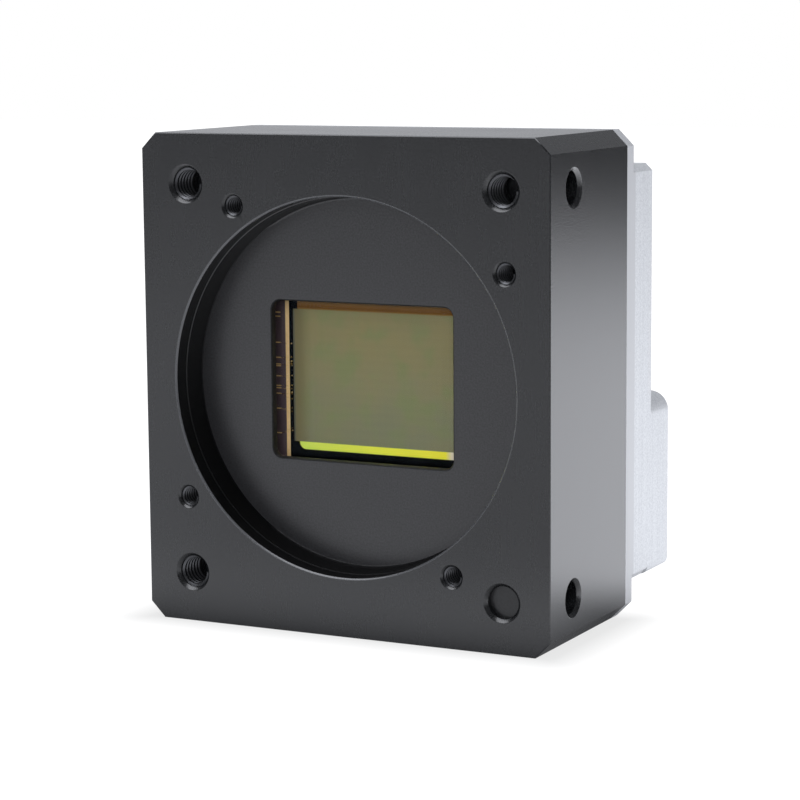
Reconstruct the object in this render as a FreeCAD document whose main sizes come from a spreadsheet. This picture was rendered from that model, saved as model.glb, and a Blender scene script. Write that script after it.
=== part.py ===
import FreeCAD, Part
import math
import os
import re

import Sketcher

# Machine vision camera: a black milled front block with a lens recess and an image sensor
# behind its window, and a silver stepped rear housing that carries the sockets.
# The frame: X to the right seen from the front, Y from the front face towards the back,
# Z up. The origin is where the optical axis meets the front face.

# The driving sizes, in millimetres, degrees or plain counts
SIZES = {
    # The front block
    "front_width": 56.0,  # front block, side to side
    "front_height": 62.0,  # front block, bottom to top
    "front_depth": 23.6,  # front block, front to back
    "corner_chamfer": 2.0,  # flat on each long corner
    "edge_break": 0.4,  # broken edge round the front face
    "recess_diameter": 47.0,  # lens recess at its mouth
    "recess_bevel": 0.3,  # bevel of the recess mouth
    "step_depth": 2.7,  # depth of the wider part of the recess
    "step_width": 0.35,  # step between the two parts of the recess
    "recess_depth": 5.5,  # depth of the recess floor
    "window_width": 25.2,  # window in the recess floor, side to side
    "window_height": 19.5,  # window in the recess floor, bottom to top
    "window_corner": 1.2,  # corner radius of the window
    "window_bevel": 0.3,  # bevel round the window
    "window_lip": 1.0,  # thickness of the floor round the window
    "front_wall": 9.5,  # front face to the board cavity
    "side_wall": 2.6,  # wall beside the board cavity
    "cap_wall": 4.6,  # wall above and below the board cavity
    "cavity_corner": 3.0,  # corner radius of the board cavity

    # Tapped holes, each drawn at the thread's outer diameter
    "face_screw": 4.0,  # thread of the four outer front holes
    "face_sink": 4.9,  # countersink of those holes
    "face_screw_depth": 5.5,  # depth of those holes
    "face_inset": 6.35,  # edges of the front face to those holes
    "ring_screw": 2.5,  # thread of the adapter holes
    "ring_sink": 3.1,  # countersink of those holes
    "ring_screw_depth": 5.0,  # depth of those holes
    "ring_wall": 3.15,  # recess mouth to those holes
    "ring_angle": 34.1,  # first adapter hole, up from the right
    "ring_count": 4,  # adapter holes
    "side_screw": 4.0,  # thread of the side mounting holes
    "side_sink": 4.9,  # countersink of those holes
    "side_screw_depth": 3.5,  # depth of those holes
    "side_setback": 6.9,  # front face to the side holes
    "side_inset": 6.2,  # top and bottom of the block to the side holes
    "sink_angle": 90.0,  # full angle of every countersink
    "thread_gap": 0.05,  # play between a screw and its thread, on the radius

    # The rear housing
    "rim_depth": 2.6,  # full-height rim behind the front block
    "rim_round": 0.6,  # rounded back edge of the rim
    "ledge": 4.5,  # rim above and below the first step
    "first_depth": 6.0,  # first step, front to back
    "first_round": 1.0,  # corner radius of the first step
    "second_height": 23.0,  # second step, up from the bottom of the first
    "second_depth": 6.1,  # second step, front to back
    "second_round": 2.5,  # upper corner radius of the second step
    "back_wall": 2.0,  # walls of both steps
    "register_length": 1.5,  # lip that enters the front block
    "register_gap": 0.05,  # play round that lip
    "register_wall": 0.8,  # thickness of that lip at the sides
    "back_corner": 2.0,  # corner radius inside the rear housing
    "closing_screw": 2.0,  # thread of the closing screws
    "closing_head": 3.8,  # head diameter of the closing screws
    "closing_head_height": 1.4,  # head height of the closing screws
    "closing_key": 1.5,  # key size of the closing screws
    "closing_key_depth": 0.8,  # depth of the key socket
    "closing_length": 7.0,  # length of the closing screws under the head
    "closing_inset": 7.0,  # sides of the rim to the closing screws
    "closing_hole_gap": 0.15,  # play round a closing screw in the rim, on the radius
    "closing_hole_spare": 1.0,  # tapped hole beyond the end of a closing screw

    # The image sensor
    "seal_thickness": 0.4,  # foam seal, pressed
    "seal_width": 1.8,  # width of the foam seal's frame
    "seal_margin": 0.6,  # foam seal clear of the window's edge
    "lid_land": 1.1,  # cover glass beyond the package's cavity
    "lid_thickness": 0.7,  # cover glass
    "bead_thickness": 0.15,  # glue bead under the cover glass
    "package_wall": 3.6,  # ceramic round the package's cavity
    "package_thickness": 2.55,  # ceramic package, front to back
    "package_gap": 0.2,  # play round the package in its pocket
    "shelf_depth": 1.05,  # package face to its bonding shelf
    "shelf_height_ledge": 1.65,  # bonding shelf above and below the die
    "die_margin_x": 0.735,  # silicon beside the pixel array
    "die_margin_z": 2.25,  # silicon above and below the pixel array
    "die_thickness": 0.85,  # silicon die
    "die_gap": 0.05,  # play round the die in its pocket
    "die_pocket_depth": 0.8,  # shelf to the floor under the die
    "array_width": 22.53,  # pixel array, side to side
    "array_height": 16.9,  # pixel array, bottom to top
    "array_thickness": 0.03,  # filter and lens layer on the pixels
    "plating": 0.04,  # gold plating on the shelf
    "ground_gap": 0.1,  # die pocket to the gold ring
    "ground_width": 0.55,  # width of the gold ring
    "finger_length": 0.9,  # gold bonding finger
    "finger_width": 0.25,  # gold bonding finger, across
    "finger_pitch": 1.9,  # spacing of the bonding fingers
    "finger_rows": 10,  # bonding fingers on each side
    "finger_gap": 0.65,  # gold ring to the bonding fingers
    "finger_end_gap": 0.15,  # bonding fingers to the ceramic wall
    "pin_size": 0.5,  # package pin across its flats
    "pin_pitch": 2.54,  # spacing of the package pins
    "pin_columns": 13,  # package pins in the top and bottom rows
    "pin_side_rows": 7,  # package pins in each side column

    # The boards and their stack
    "board_play": 0.5,  # boards clear of the rear housing's walls
    "board_thickness": 1.6,  # every board
    "board_corner": 2.5,  # flat across each corner of the boards
    "package_stand": 1.7,  # package back to the sensor board
    "interface_room": 3.4,  # last board to the wall of the first step
    "post_inset": 2.6,  # edges of a board to the middle of a post
    "post_flats": 4.5,  # hexagonal post across its flats
    "pad_side": 5.0,  # pad in the front block under each corner of the sensor board

    "plug_width": 22.0,  # board connector, side to side
    "plug_height": 5.5,  # board connector, bottom to top
    "plug_base": 1.8,  # board plug under its blade
    "blade_width": 18.8,  # blade of the board plug
    "blade_height": 2.0,  # blade of the board plug, across
    "blade_length": 1.9,  # blade of the board plug, out of its base
    "blade_gap": 0.1,  # play round the blade
    "plug_inset": 5.0,  # edge of a board to the middle of its connector

    "processor_side": 23.0,  # processor chip
    "processor_height": 2.2,  # processor chip above its board
    "processor_gap": 2.45,  # processor chip below the clock module
    "memory_width": 9.0,  # memory chip, side to side
    "memory_height": 13.0,  # memory chip, bottom to top
    "memory_thickness": 1.1,  # memory chip above its board
    "memory_gap": 1.5,  # processor to a memory chip
    "clock_width": 5.0,  # clock module, side to side
    "clock_height": 3.2,  # clock module, bottom to top
    "clock_thickness": 1.2,  # clock module above its board
    "clock_gap": 1.6,  # clock module below the board connector
    "driver_count": 3,  # link driver chips in a row
    "driver_margin": 1.85,  # side of the board to the first driver chip
    "driver_gap": 1.2,  # one driver chip to the next
    "driver_height": 6.1,  # driver chip, bottom to top
    "driver_thickness": 1.1,  # driver chip above its board
    "coil_side": 6.0,  # power coil
    "coil_thickness": 2.8,  # power coil above its board
    "capacitor_width": 3.2,  # capacitor, side to side
    "capacitor_height": 1.6,  # capacitor, bottom to top
    "capacitor_thickness": 1.4,  # capacitor above its board
    "capacitor_pitch": 5.2,  # spacing of the capacitors
    "capacitor_count": 7,  # capacitors in a row

    # The two link sockets
    "flange_gap": 0.775,  # flange clear of the side wall and of the middle plane
    "flange_height": 7.0,  # flange of a link socket, bottom to top
    "flange_thickness": 1.0,  # flange of a link socket
    "ear_inset": 2.2,  # end of the flange to the middle of a jack screw
    "shroud_clearance": 2.7,  # middle of a jack screw to the shroud
    "shroud_height": 5.6,  # metal shroud, bottom to top
    "shroud_corner": 1.2,  # corner radius of the shroud
    "shroud_wall": 0.4,  # metal of the shroud
    "shroud_reach": 0.7,  # shroud beyond the back face
    "shroud_gap": 0.2,  # play round the shroud in the back wall
    "base_margin": 0.5,  # insulator behind the flange beyond the shroud
    "tongue_side_gap": 0.75,  # contact tongue to the inside of the shroud
    "tongue_height": 1.6,  # contact tongue, bottom to top
    "tongue_setback": 0.6,  # tongue inside the shroud's mouth
    "contact_margin": 0.65,  # end of the tongue to the middle of a contact
    "contact_width": 0.4,  # contact, across
    "contact_thickness": 0.15,  # contact
    "contact_columns": 13,  # contacts on each side of the tongue
    "contact_length": 2.6,  # contact strip along the tongue
    "jack_flats": 4.5,  # jack screw across its flats
    "jack_height": 2.7,  # head of a jack screw
    "jack_thread": 3.0,  # thread of a jack screw's stud
    "jack_length": 4.0,  # stud of a jack screw
    "jack_bore": 2.0,  # thread in the head of a jack screw
    "jack_bore_depth": 2.2,  # depth of that thread
    "jack_gap": 0.15,  # play round a jack screw's stud, on the radius

    # The power socket and the status light
    "power_thread": 9.0,  # body of the power socket
    "power_gap": 0.1,  # play round that body in the back wall, on the radius
    "power_flange": 11.4,  # flange of the power socket
    "power_flange_depth": 1.2,  # flange of the power socket, front to back
    "power_reach": 3.7,  # barrel of the power socket beyond the back wall
    "power_barrel": 8.4,  # barrel of the power socket
    "power_bore": 6.8,  # inside of the barrel
    "power_tail": 2.4,  # body of the power socket inside the wall
    "insert_setback": 6.4,  # insulator inside the barrel's mouth
    "insert_gap": 0.03,  # play round that insulator, on the radius
    "power_pin": 0.7,  # power pin
    "power_pin_circle": 3.9,  # circle through the power pins
    "power_pins_count": 6,  # power pins
    "power_pin_setback": 1.2,  # pin tip inside the barrel's mouth
    "nut_flats": 11.0,  # nut of the power socket across its flats
    "nut_thickness": 1.5,  # nut of the power socket
    "light_diameter": 2.8,  # light guide
    "light_gap": 0.1,  # play round the light guide in the back wall, on the radius
    "light_reach": 0.5,  # light guide beyond the back wall
    "led_side": 1.6,  # light source on the board
    "led_thickness": 0.9,  # light source above its board
}

# Positions and sizes worked out from the driving sizes. Those along Y run backwards
# from the front face.
PLACES = {
    "lip_back": "recess_depth + window_lip",
    "glass_front": "lip_back + seal_thickness",
    "bead_front": "glass_front + lid_thickness",
    "package_front": "bead_front + bead_thickness",
    "shelf_front": "package_front + shelf_depth",
    "pocket_floor": "shelf_front + die_pocket_depth",
    "die_front": "pocket_floor - die_thickness",
    "package_back": "package_front + package_thickness",
    "sensor_board_front": "package_back + package_stand",
    "sensor_board_back": "sensor_board_front + board_thickness",
    "rim_back": "front_depth + rim_depth",
    "first_back": "rim_back + first_depth",
    "second_back": "first_back + second_depth",
    "first_inside": "first_back - back_wall",
    "second_inside": "second_back - back_wall",
    "interface_board_back": "first_inside - interface_room",
    "interface_board_front": "interface_board_back - board_thickness",
    "board_gap": "(interface_board_front - sensor_board_back - board_thickness) / 2",
    "processor_board_front": "sensor_board_back + board_gap",
    "processor_board_back": "processor_board_front + board_thickness",

    "floor_diameter": "recess_diameter - 2 * step_width",
    "face_pitch_x": "front_width - 2 * face_inset",
    "face_pitch_z": "front_height - 2 * face_inset",
    "ring_diameter": "recess_diameter + 2 * ring_wall",
    "side_pitch": "front_height - 2 * side_inset",
    "cavity_width": "front_width - 2 * side_wall",
    "cavity_height": "front_height - 2 * cap_wall",

    "first_height": "front_height - 2 * ledge",
    "foot": "-first_height / 2",
    "second_top": "foot + second_height",
    "register_outer_width": "cavity_width - 2 * register_gap",
    "register_outer_height": "cavity_height - 2 * register_gap",
    "back_cavity_width": "register_outer_width - 2 * register_wall",
    "back_cavity_height": "first_height - 2 * back_wall",
    "closing_pitch_x": "front_width - 2 * closing_inset",
    "closing_height": "front_height / 2 - ledge / 2",

    "die_width": "array_width + 2 * die_margin_x",
    "die_height": "array_height + 2 * die_margin_z",
    "shelf_ledge": "ground_gap + ground_width + finger_gap + finger_length + finger_end_gap",
    "shelf_width": "die_width + 2 * die_gap + 2 * shelf_ledge",
    "shelf_height": "die_height + 2 * die_gap + 2 * shelf_height_ledge",
    "package_width": "shelf_width + 2 * package_wall",
    "package_height": "shelf_height + 2 * package_wall",
    "lid_width": "shelf_width + 2 * lid_land",
    "lid_height": "shelf_height + 2 * lid_land",

    "board_width": "back_cavity_width - 2 * board_play",
    "board_height": "back_cavity_height - 2 * board_play",
    "post_pitch_x": "board_width - 2 * post_inset",
    "post_pitch_z": "board_height - 2 * post_inset",
    "plug_offset": "board_height / 2 - plug_inset",
    "clock_level": "plug_offset - plug_height / 2 - clock_gap - clock_height / 2",
    "processor_level": "clock_level - clock_height / 2 - processor_gap - processor_side / 2",
    "driver_pitch": "(board_width - 2 * driver_margin + driver_gap) / driver_count",
    "driver_width": "driver_pitch - driver_gap",

    "link_level": "foot + second_height / 2",
    "link_offset": "back_cavity_width / 4",
    "flange_width": "back_cavity_width / 2 - 2 * flange_gap",
    "flange_front": "second_inside - flange_thickness",
    "jack_pitch": "flange_width - 2 * ear_inset",
    "shroud_width": "jack_pitch - 2 * shroud_clearance",
    "shroud_back": "second_back + shroud_reach",
    "base_width": "shroud_width + 2 * base_margin",
    "base_height": "shroud_height + 2 * base_margin",
    "tongue_width": "shroud_width - 2 * shroud_wall - 2 * tongue_side_gap",
    "contact_pitch": "(tongue_width - 2 * contact_margin) / (contact_columns - 1)",

    "service_height": "(second_top + first_height / 2) / 2",
    "service_offset": "front_width / 4",
    "insert_back": "first_back + power_reach - insert_setback",
}

QUARTER_TURN = math.pi / 2
FULL_CIRCLE = 360
SAME = 0.001
ACROSS = FreeCAD.Vector(1, 0, 0)
UPWARDS = FreeCAD.Vector(0, 0, 1)

doc = FreeCAD.newDocument("vision_camera")


def formula(words, home=""):
    """Put the sheet's name before each size or place named in the words."""
    def full(match):
        word = match.group()
        sheet = "sizes" if word in SIZES else "places" if word in PLACES else home
        return word if sheet == home else sheet + "." + word
    return re.sub(r"[a-z][a-z_0-9]*", full, words)


def fill_sheets():
    """Write the sizes as plain numbers, and the places as formulas of them, each under its name."""
    sizes = doc.addObject("Spreadsheet::Sheet", "sizes")
    for row, (name, amount) in enumerate(SIZES.items(), 1):
        sizes.set("A%d" % row, name.replace("_", " "))
        sizes.set("B%d" % row, str(amount))
        sizes.setAlias("B%d" % row, name)
    places = doc.addObject("Spreadsheet::Sheet", "places")
    for row, (name, words) in enumerate(PLACES.items(), 1):
        places.set("A%d" % row, name.replace("_", " "))
        places.set("B%d" % row, "=" + formula(words, "places"))
        places.setAlias("B%d" % row, name)
    doc.recompute()
    return sizes


sheet = fill_sheets()


def number(words):
    """Work out a formula of the sizes."""
    result = sheet.evalExpression(formula(words))
    return float(getattr(result, "Value", result))


def bind(thing, setting, words):
    """Tie one setting of an object to a formula of the sizes."""
    thing.setExpression(setting, formula(words))


def new_body(label):
    """Start a piece that is made feature by feature."""
    body = doc.addObject("PartDesign::Body", label)
    body.Label = label
    return body


def origin_part(body, role):
    """Find one of the body's own origin planes or axes."""
    return next(item for item in body.Origin.OriginFeatures if item.Role == role)


def new_sketch(body, name, role="XZ_Plane", offset="0"):
    """Draw on an origin plane, moved along its normal by the offset."""
    sketch = body.newObject("Sketcher::SketchObject", name)
    sketch.AttachmentSupport = [(origin_part(body, role), "")]
    sketch.MapMode = "FlatFace"
    bind(sketch, "AttachmentOffset.Base.z", offset)
    return sketch


def face_sketch(body, name, depth):
    """Draw on the plane that lies at this depth behind the front face."""
    return new_sketch(body, name, "XZ_Plane", "-(" + depth + ")")


def hold(sketch, kind, geometry, corner, words):
    """Set one coordinate of a point of the sketch from the sizes."""
    rule = Sketcher.Constraint(kind, -1, 1, geometry, corner, number(words))
    bind(sketch, "Constraints[%d]" % sketch.addConstraint(rule), words)


def polygon(sketch, corners):
    """Draw a closed outline through corners, each a pair of formulas."""
    points = [FreeCAD.Vector(number(x), number(z), 0) for x, z in corners]
    first = sketch.GeometryCount
    count = len(points)
    for here in range(count):
        sketch.addGeometry(Part.LineSegment(points[here], points[(here + 1) % count]), False)
    for here in range(count):
        after = first + (here + 1) % count
        sketch.addConstraint(Sketcher.Constraint("Coincident", first + here, 2, after, 1))
        hold(sketch, "DistanceX", first + here, 1, corners[here][0])
        hold(sketch, "DistanceY", first + here, 1, corners[here][1])


def span(middle, length):
    """Give the two ends of a length about its middle."""
    return ["(%s) %s (%s) / 2" % (middle, sign, length) for sign in "-+"]


def rectangle(sketch, width, height, x="0", z="0"):
    """Draw an upright rectangle about a centre."""
    (left, right), (low, high) = span(x, width), span(z, height)
    polygon(sketch, [(left, low), (right, low), (right, high), (left, high)])


def rounded(sketch, sides, radii):
    """Draw a rounded rectangle. Sides are left, right, low and high; radii go round from lower right."""
    left, right, low, high = sides
    ends = [number(side) for side in sides]
    turns = [number(radius) for radius in radii]
    centres = [(ends[1] - turns[0], ends[2] + turns[0]), (ends[1] - turns[1], ends[3] - turns[1]),
               (ends[0] + turns[2], ends[3] - turns[2]), (ends[0] + turns[3], ends[2] + turns[3])]
    first = sketch.GeometryCount
    arcs = []
    for corner, (x, z) in enumerate(centres):
        ring = Part.Circle(FreeCAD.Vector(x, z, 0), UPWARDS, turns[corner])
        begin = (corner - 1) * QUARTER_TURN
        arcs.append(Part.ArcOfCircle(ring, begin, begin + QUARTER_TURN))
    for corner, arc in enumerate(arcs):
        sketch.addGeometry(Part.LineSegment(arcs[corner - 1].EndPoint, arc.StartPoint), False)
        sketch.addGeometry(arc, False)
    edge_count = 2 * len(arcs)
    for step in range(edge_count):
        rule = Sketcher.Constraint("Tangent", first + step, 2, first + (step + 1) % edge_count, 1)
        sketch.addConstraint(rule)
    for corner, radius in enumerate(radii):
        kind = "Vertical" if corner % 2 else "Horizontal"
        sketch.addConstraint(Sketcher.Constraint(kind, first + 2 * corner))
        rule = Sketcher.Constraint("Radius", first + 2 * corner + 1, number(radius))
        bind(sketch, "Constraints[%d]" % sketch.addConstraint(rule), radius)
    hold(sketch, "DistanceY", first, 1, low)
    hold(sketch, "DistanceX", first + 2, 1, right)
    hold(sketch, "DistanceY", first + 4, 1, high)
    hold(sketch, "DistanceX", first + 6, 1, left)


def rounded_box(sketch, width, height, radius, x="0", z="0"):
    """Draw a rounded rectangle about a centre."""
    rounded(sketch, span(x, width) + span(z, height), [radius] * 4)


def circle(sketch, diameter, x="0", z="0"):
    """Draw a circle about a centre."""
    centre = FreeCAD.Vector(number(x), number(z), 0)
    index = sketch.addGeometry(Part.Circle(centre, UPWARDS, number(diameter) / 2), False)
    rule = Sketcher.Constraint("Diameter", index, number(diameter))
    bind(sketch, "Constraints[%d]" % sketch.addConstraint(rule), diameter)
    hold(sketch, "DistanceX", index, 3, x)
    hold(sketch, "DistanceY", index, 3, z)


def four_circles(sketch, diameter, pitch_x, pitch_z):
    """Draw a circle at each corner of a rectangle about the optical axis."""
    for x in span("0", pitch_x):
        for z in span("0", pitch_z):
            circle(sketch, diameter, x, z)


def pad(body, sketch, name, length, forwards=False):
    """Grow the sketch backwards, away from the front face, or forwards."""
    feature = body.newObject("PartDesign::Pad", name)
    feature.Profile = sketch
    feature.Reversed = not forwards
    bind(feature, "Length", length)
    doc.recompute()
    return feature


def pocket(body, sketch, name, depth, forwards=False):
    """Cut the sketch backwards from its plane, or forwards from a back face."""
    before = body.Shape.Volume
    feature = body.newObject("PartDesign::Pocket", name)
    feature.Profile = sketch
    feature.Reversed = forwards
    bind(feature, "Length", depth)
    doc.recompute()
    if not body.Shape.Volume < before:
        raise RuntimeError(name + " cuts nothing")
    return feature


def drilled(body, sketch, name, diameter, depth, sink=None, forwards=False):
    """Drill at each circle of the sketch to a flat end, perhaps with a countersink."""
    before = body.Shape.Volume
    hole = body.newObject("PartDesign::Hole", name)
    hole.Profile = sketch
    doc.recompute()
    hole.Reversed = forwards
    hole.DepthType = "Dimension"
    hole.DrillPoint = "Flat"
    bind(hole, "Diameter", diameter)
    bind(hole, "Depth", depth)
    if sink:
        hole.HoleCutType = "Countersink"
        bind(hole, "HoleCutCountersinkAngle", "sink_angle")
        bind(hole, "HoleCutDiameter", sink)
    doc.recompute()
    if not body.Shape.Volume < before:
        raise RuntimeError(name + " cuts nothing")
    return hole


def near(a, b):
    """Tell whether two lengths are the same."""
    return abs(a - b) < SAME


def runs_back(length):
    """Pick the edges that run from front to back for this whole length."""
    def test(extent):
        return near(extent.YLength, number(length))
    return test


def lies_at(depth, width="front_width"):
    """Pick the edges in the plane at this depth that reach no further out than this width."""
    def test(extent):
        flat = near(extent.YMin, number(depth)) and near(extent.YMax, number(depth))
        return flat and max(extent.XMax, -extent.XMin) < number(width) / 2 + SAME
    return test


def dress(body, kind, name, test, amount):
    """Chamfer or fillet the edges of the body so far whose extents pass a test."""
    base = body.Tip
    names = ["Edge%d" % index for index, edge in enumerate(base.Shape.Edges, 1) if test(edge.BoundBox)]
    if not names:
        raise RuntimeError(name + " finds no edge")
    feature = body.newObject("PartDesign::" + kind, name)
    feature.Base = (base, names)
    bind(feature, "Size" if kind == "Chamfer" else "Radius", amount)
    doc.recompute()
    return feature


def line_of(body, name, axis, pitch, count):
    """Start a row of copies along one axis, from the first copy's place onwards."""
    row = body.newObject("PartDesign::LinearPattern", name)
    row.Direction = (origin_part(body, axis), [""])
    bind(row, "Length", "%s * (%s - 1)" % (pitch, count))
    row.Occurrences = int(number(count))
    return row


def mirror_in(body, name, plane):
    """Start a mirror in one of the body's origin planes."""
    image = body.newObject("PartDesign::Mirrored", name)
    image.MirrorPlane = (origin_part(body, plane), [""])
    return image


def copies(body, name, original, steps):
    """Repeat a feature by several patterns, one after the other, and let the result count."""
    whole = body.newObject("PartDesign::MultiTransform", name)
    whole.Originals = [original]
    whole.Transformations = steps
    body.Tip = whole
    doc.recompute()


def box(name, width, depth, height, x, y, z):
    """Make a block centred on x and z, whose front lies at y."""
    block = doc.addObject("Part::Box", name)
    bind(block, "Length", width)
    bind(block, "Width", depth)
    bind(block, "Height", height)
    bind(block, "Placement.Base.x", "(%s) - (%s) / 2" % (x, width))
    bind(block, "Placement.Base.y", y)
    bind(block, "Placement.Base.z", "(%s) - (%s) / 2" % (z, height))
    return block


def lay_along(thing, x, y, z):
    """Turn an upright primitive to run backwards from y."""
    thing.Placement.Rotation = FreeCAD.Rotation(FreeCAD.Vector(0, 0, 1), FreeCAD.Vector(0, 1, 0))
    bind(thing, "Placement.Base.x", x)
    bind(thing, "Placement.Base.y", y)
    bind(thing, "Placement.Base.z", z)
    return thing


def rod(name, diameter, length, x, y, z):
    """Make a round rod that runs backwards from y."""
    cylinder = doc.addObject("Part::Cylinder", name)
    bind(cylinder, "Radius", "(%s) / 2" % diameter)
    bind(cylinder, "Height", length)
    return lay_along(cylinder, x, y, z)


def hexagon(name, flats, length, x, y, z):
    """Make a hexagonal rod that runs backwards from y."""
    prism = doc.addObject("Part::Prism", name)
    prism.Polygon = 6
    bind(prism, "Circumradius", "(%s) / sqrt(3)" % flats)
    bind(prism, "Height", length)
    return lay_along(prism, x, y, z)


def fuse(name, things):
    """Join solids into one."""
    whole = doc.addObject("Part::MultiFuse", name)
    whole.Shapes = things
    whole.Refine = True
    return whole


def cut(name, base, tool):
    """Cut one solid out of another."""
    rest = doc.addObject("Part::Cut", name)
    rest.Base = base
    rest.Tool = tool
    return rest


def mirrored(name, thing, normal):
    """Mirror a piece through the origin's plane with this normal."""
    image = doc.addObject("Part::Mirroring", name)
    image.Source = thing
    image.Normal = normal
    return image


def group(label, things):
    """Keep several separate solids under one label."""
    whole = doc.addObject("Part::Compound", label)
    whole.Links = things
    return whole


def four_corners(label, thing):
    """Repeat a piece at the four corners about the optical axis, as one group."""
    pair = [thing, mirrored(label + "_side", thing, ACROSS)]
    below = [mirrored(label + "_below_%d" % turn, item, UPWARDS) for turn, item in enumerate(pair)]
    return group(label, pair + below)


def make_front_housing():
    """The milled front block: lens recess, window, sensor pocket, board cavity and tapped holes."""
    body = new_body("front_housing")
    outline = face_sketch(body, "front_outline", "0")
    rectangle(outline, "front_width", "front_height")
    pad(body, outline, "front_block", "front_depth")
    dress(body, "Chamfer", "front_corners", runs_back("front_depth"), "corner_chamfer")
    dress(body, "Chamfer", "front_edge_break", lies_at("0"), "edge_break")

    recess = face_sketch(body, "recess_mouth", "0")
    circle(recess, "recess_diameter")
    pocket(body, recess, "recess_wide_part", "step_depth")
    dress(body, "Chamfer", "recess_mouth_bevel", lies_at("0", "recess_diameter"), "recess_bevel")
    floor = face_sketch(body, "recess_floor", "step_depth")
    circle(floor, "floor_diameter")
    pocket(body, floor, "recess_narrow_part", "recess_depth - step_depth")

    window = face_sketch(body, "window_outline", "recess_depth")
    rounded_box(window, "window_width", "window_height", "window_corner")
    pocket(body, window, "window_opening", "front_wall - recess_depth")
    dress(body, "Chamfer", "window_edge_bevel", lies_at("recess_depth", "window_width"), "window_bevel")

    cavity = face_sketch(body, "cavity_outline", "front_depth")
    rounded_box(cavity, "cavity_width", "cavity_height", "cavity_corner")
    pocket(body, cavity, "board_cavity", "front_depth - front_wall", forwards=True)
    seat = face_sketch(body, "package_outline", "front_wall")
    rectangle(seat, "package_width + 2 * package_gap", "package_height + 2 * package_gap")
    pocket(body, seat, "package_pocket", "front_wall - lip_back", forwards=True)
    pads = face_sketch(body, "board_pad_outlines", "sensor_board_front")
    for x in span("0", "post_pitch_x"):
        for z in span("0", "post_pitch_z"):
            rectangle(pads, "pad_side", "pad_side", x, z)
    pad(body, pads, "board_pads", "sensor_board_front - front_wall", forwards=True)

    face = face_sketch(body, "face_holes", "0")
    four_circles(face, "face_screw", "face_pitch_x", "face_pitch_z")
    drilled(body, face, "face_tapped_holes", "face_screw", "face_screw_depth", "face_sink")

    ring = face_sketch(body, "ring_hole", "0")
    circle(ring, "ring_screw", "ring_diameter / 2 * cos(ring_angle)", "ring_diameter / 2 * sin(ring_angle)")
    first = drilled(body, ring, "ring_tapped_hole", "ring_screw", "ring_screw_depth", "ring_sink")
    around = body.newObject("PartDesign::PolarPattern", "ring_tapped_holes")
    around.Originals = [first]
    around.Axis = (origin_part(body, "Y_Axis"), [""])
    around.Angle = FULL_CIRCLE
    around.Occurrences = int(number("ring_count"))
    body.Tip = around
    doc.recompute()

    side = new_sketch(body, "side_holes", "YZ_Plane", "front_width / 2")
    for level in span("0", "side_pitch"):
        circle(side, "side_screw", "side_setback", level)
    drilled(body, side, "side_tapped_holes", "side_screw", "side_screw_depth", "side_sink")

    closing = face_sketch(body, "closing_holes", "front_depth")
    four_circles(closing, "closing_screw", "closing_pitch_x", "2 * closing_height")
    reach = "closing_length - rim_depth + closing_hole_spare"
    drilled(body, closing, "closing_tapped_holes", "closing_screw", reach, forwards=True)


def make_rear_housing():
    """The silver rear housing: rim, two steps, register lip and the sockets' cut-outs."""
    body = new_body("rear_housing")
    rim = face_sketch(body, "rim_outline", "front_depth")
    rectangle(rim, "front_width", "front_height")
    pad(body, rim, "rim", "rim_depth")
    dress(body, "Chamfer", "rim_corners", runs_back("rim_depth"), "corner_chamfer")
    dress(body, "Fillet", "rim_back_edge", lies_at("rim_back"), "rim_round")

    first = face_sketch(body, "first_outline", "rim_back")
    rounded_box(first, "front_width", "first_height", "first_round")
    pad(body, first, "first_step", "first_depth")
    second = face_sketch(body, "second_outline", "first_back")
    sides = span("0", "front_width") + ["foot", "second_top"]
    rounded(second, sides, ["first_round", "second_round", "second_round", "first_round"])
    pad(body, second, "second_step", "second_depth")

    lip = face_sketch(body, "register_outline", "front_depth - register_length")
    corner = "cavity_corner - register_gap"
    rounded_box(lip, "register_outer_width", "register_outer_height", corner)
    pad(body, lip, "register_lip", "register_length")

    hollow = face_sketch(body, "first_hollow_outline", "front_depth - register_length")
    rounded_box(hollow, "back_cavity_width", "back_cavity_height", "back_corner")
    pocket(body, hollow, "first_hollow", "first_inside - front_depth + register_length")
    deep = face_sketch(body, "second_hollow_outline", "first_inside")
    sides = span("0", "back_cavity_width") + ["foot + back_wall", "second_top - back_wall"]
    rounded(deep, sides, ["back_corner"] * 4)
    pocket(body, deep, "second_hollow", "second_depth")

    closing = face_sketch(body, "closing_clearance", "front_depth")
    four_circles(closing, "closing_screw + 2 * closing_hole_gap", "closing_pitch_x", "2 * closing_height")
    pocket(body, closing, "closing_screw_holes", "rim_depth")

    for hand, centre in (("right_", "link_offset"), ("left_", "-link_offset")):
        shroud = face_sketch(body, hand + "shroud_cutout", "second_inside")
        width, height = ["%s + 2 * shroud_gap" % word for word in ("shroud_width", "shroud_height")]
        rounded_box(shroud, width, height, "shroud_corner + shroud_gap", centre, "link_level")
        pocket(body, shroud, hand + "shroud_opening", "back_wall")
        jacks = face_sketch(body, hand + "jack_holes", "second_inside")
        for x in span(centre, "jack_pitch"):
            circle(jacks, "jack_thread + 2 * jack_gap", x, "link_level")
        pocket(body, jacks, hand + "jack_openings", "back_wall")

    service = face_sketch(body, "service_holes", "first_inside")
    circle(service, "power_thread + 2 * power_gap", "service_offset", "service_height")
    circle(service, "light_diameter + 2 * light_gap", "-service_offset", "service_height")
    pocket(body, service, "service_openings", "back_wall")


def make_frame(label, front, thickness, outer, inner):
    """A flat frame with a rectangular opening, such as a gasket or a plated ring."""
    body = new_body(label)
    sketch = face_sketch(body, label + "_outline", front)
    rectangle(sketch, *outer)
    rectangle(sketch, *inner)
    pad(body, sketch, label + "_sheet", thickness)


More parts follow.
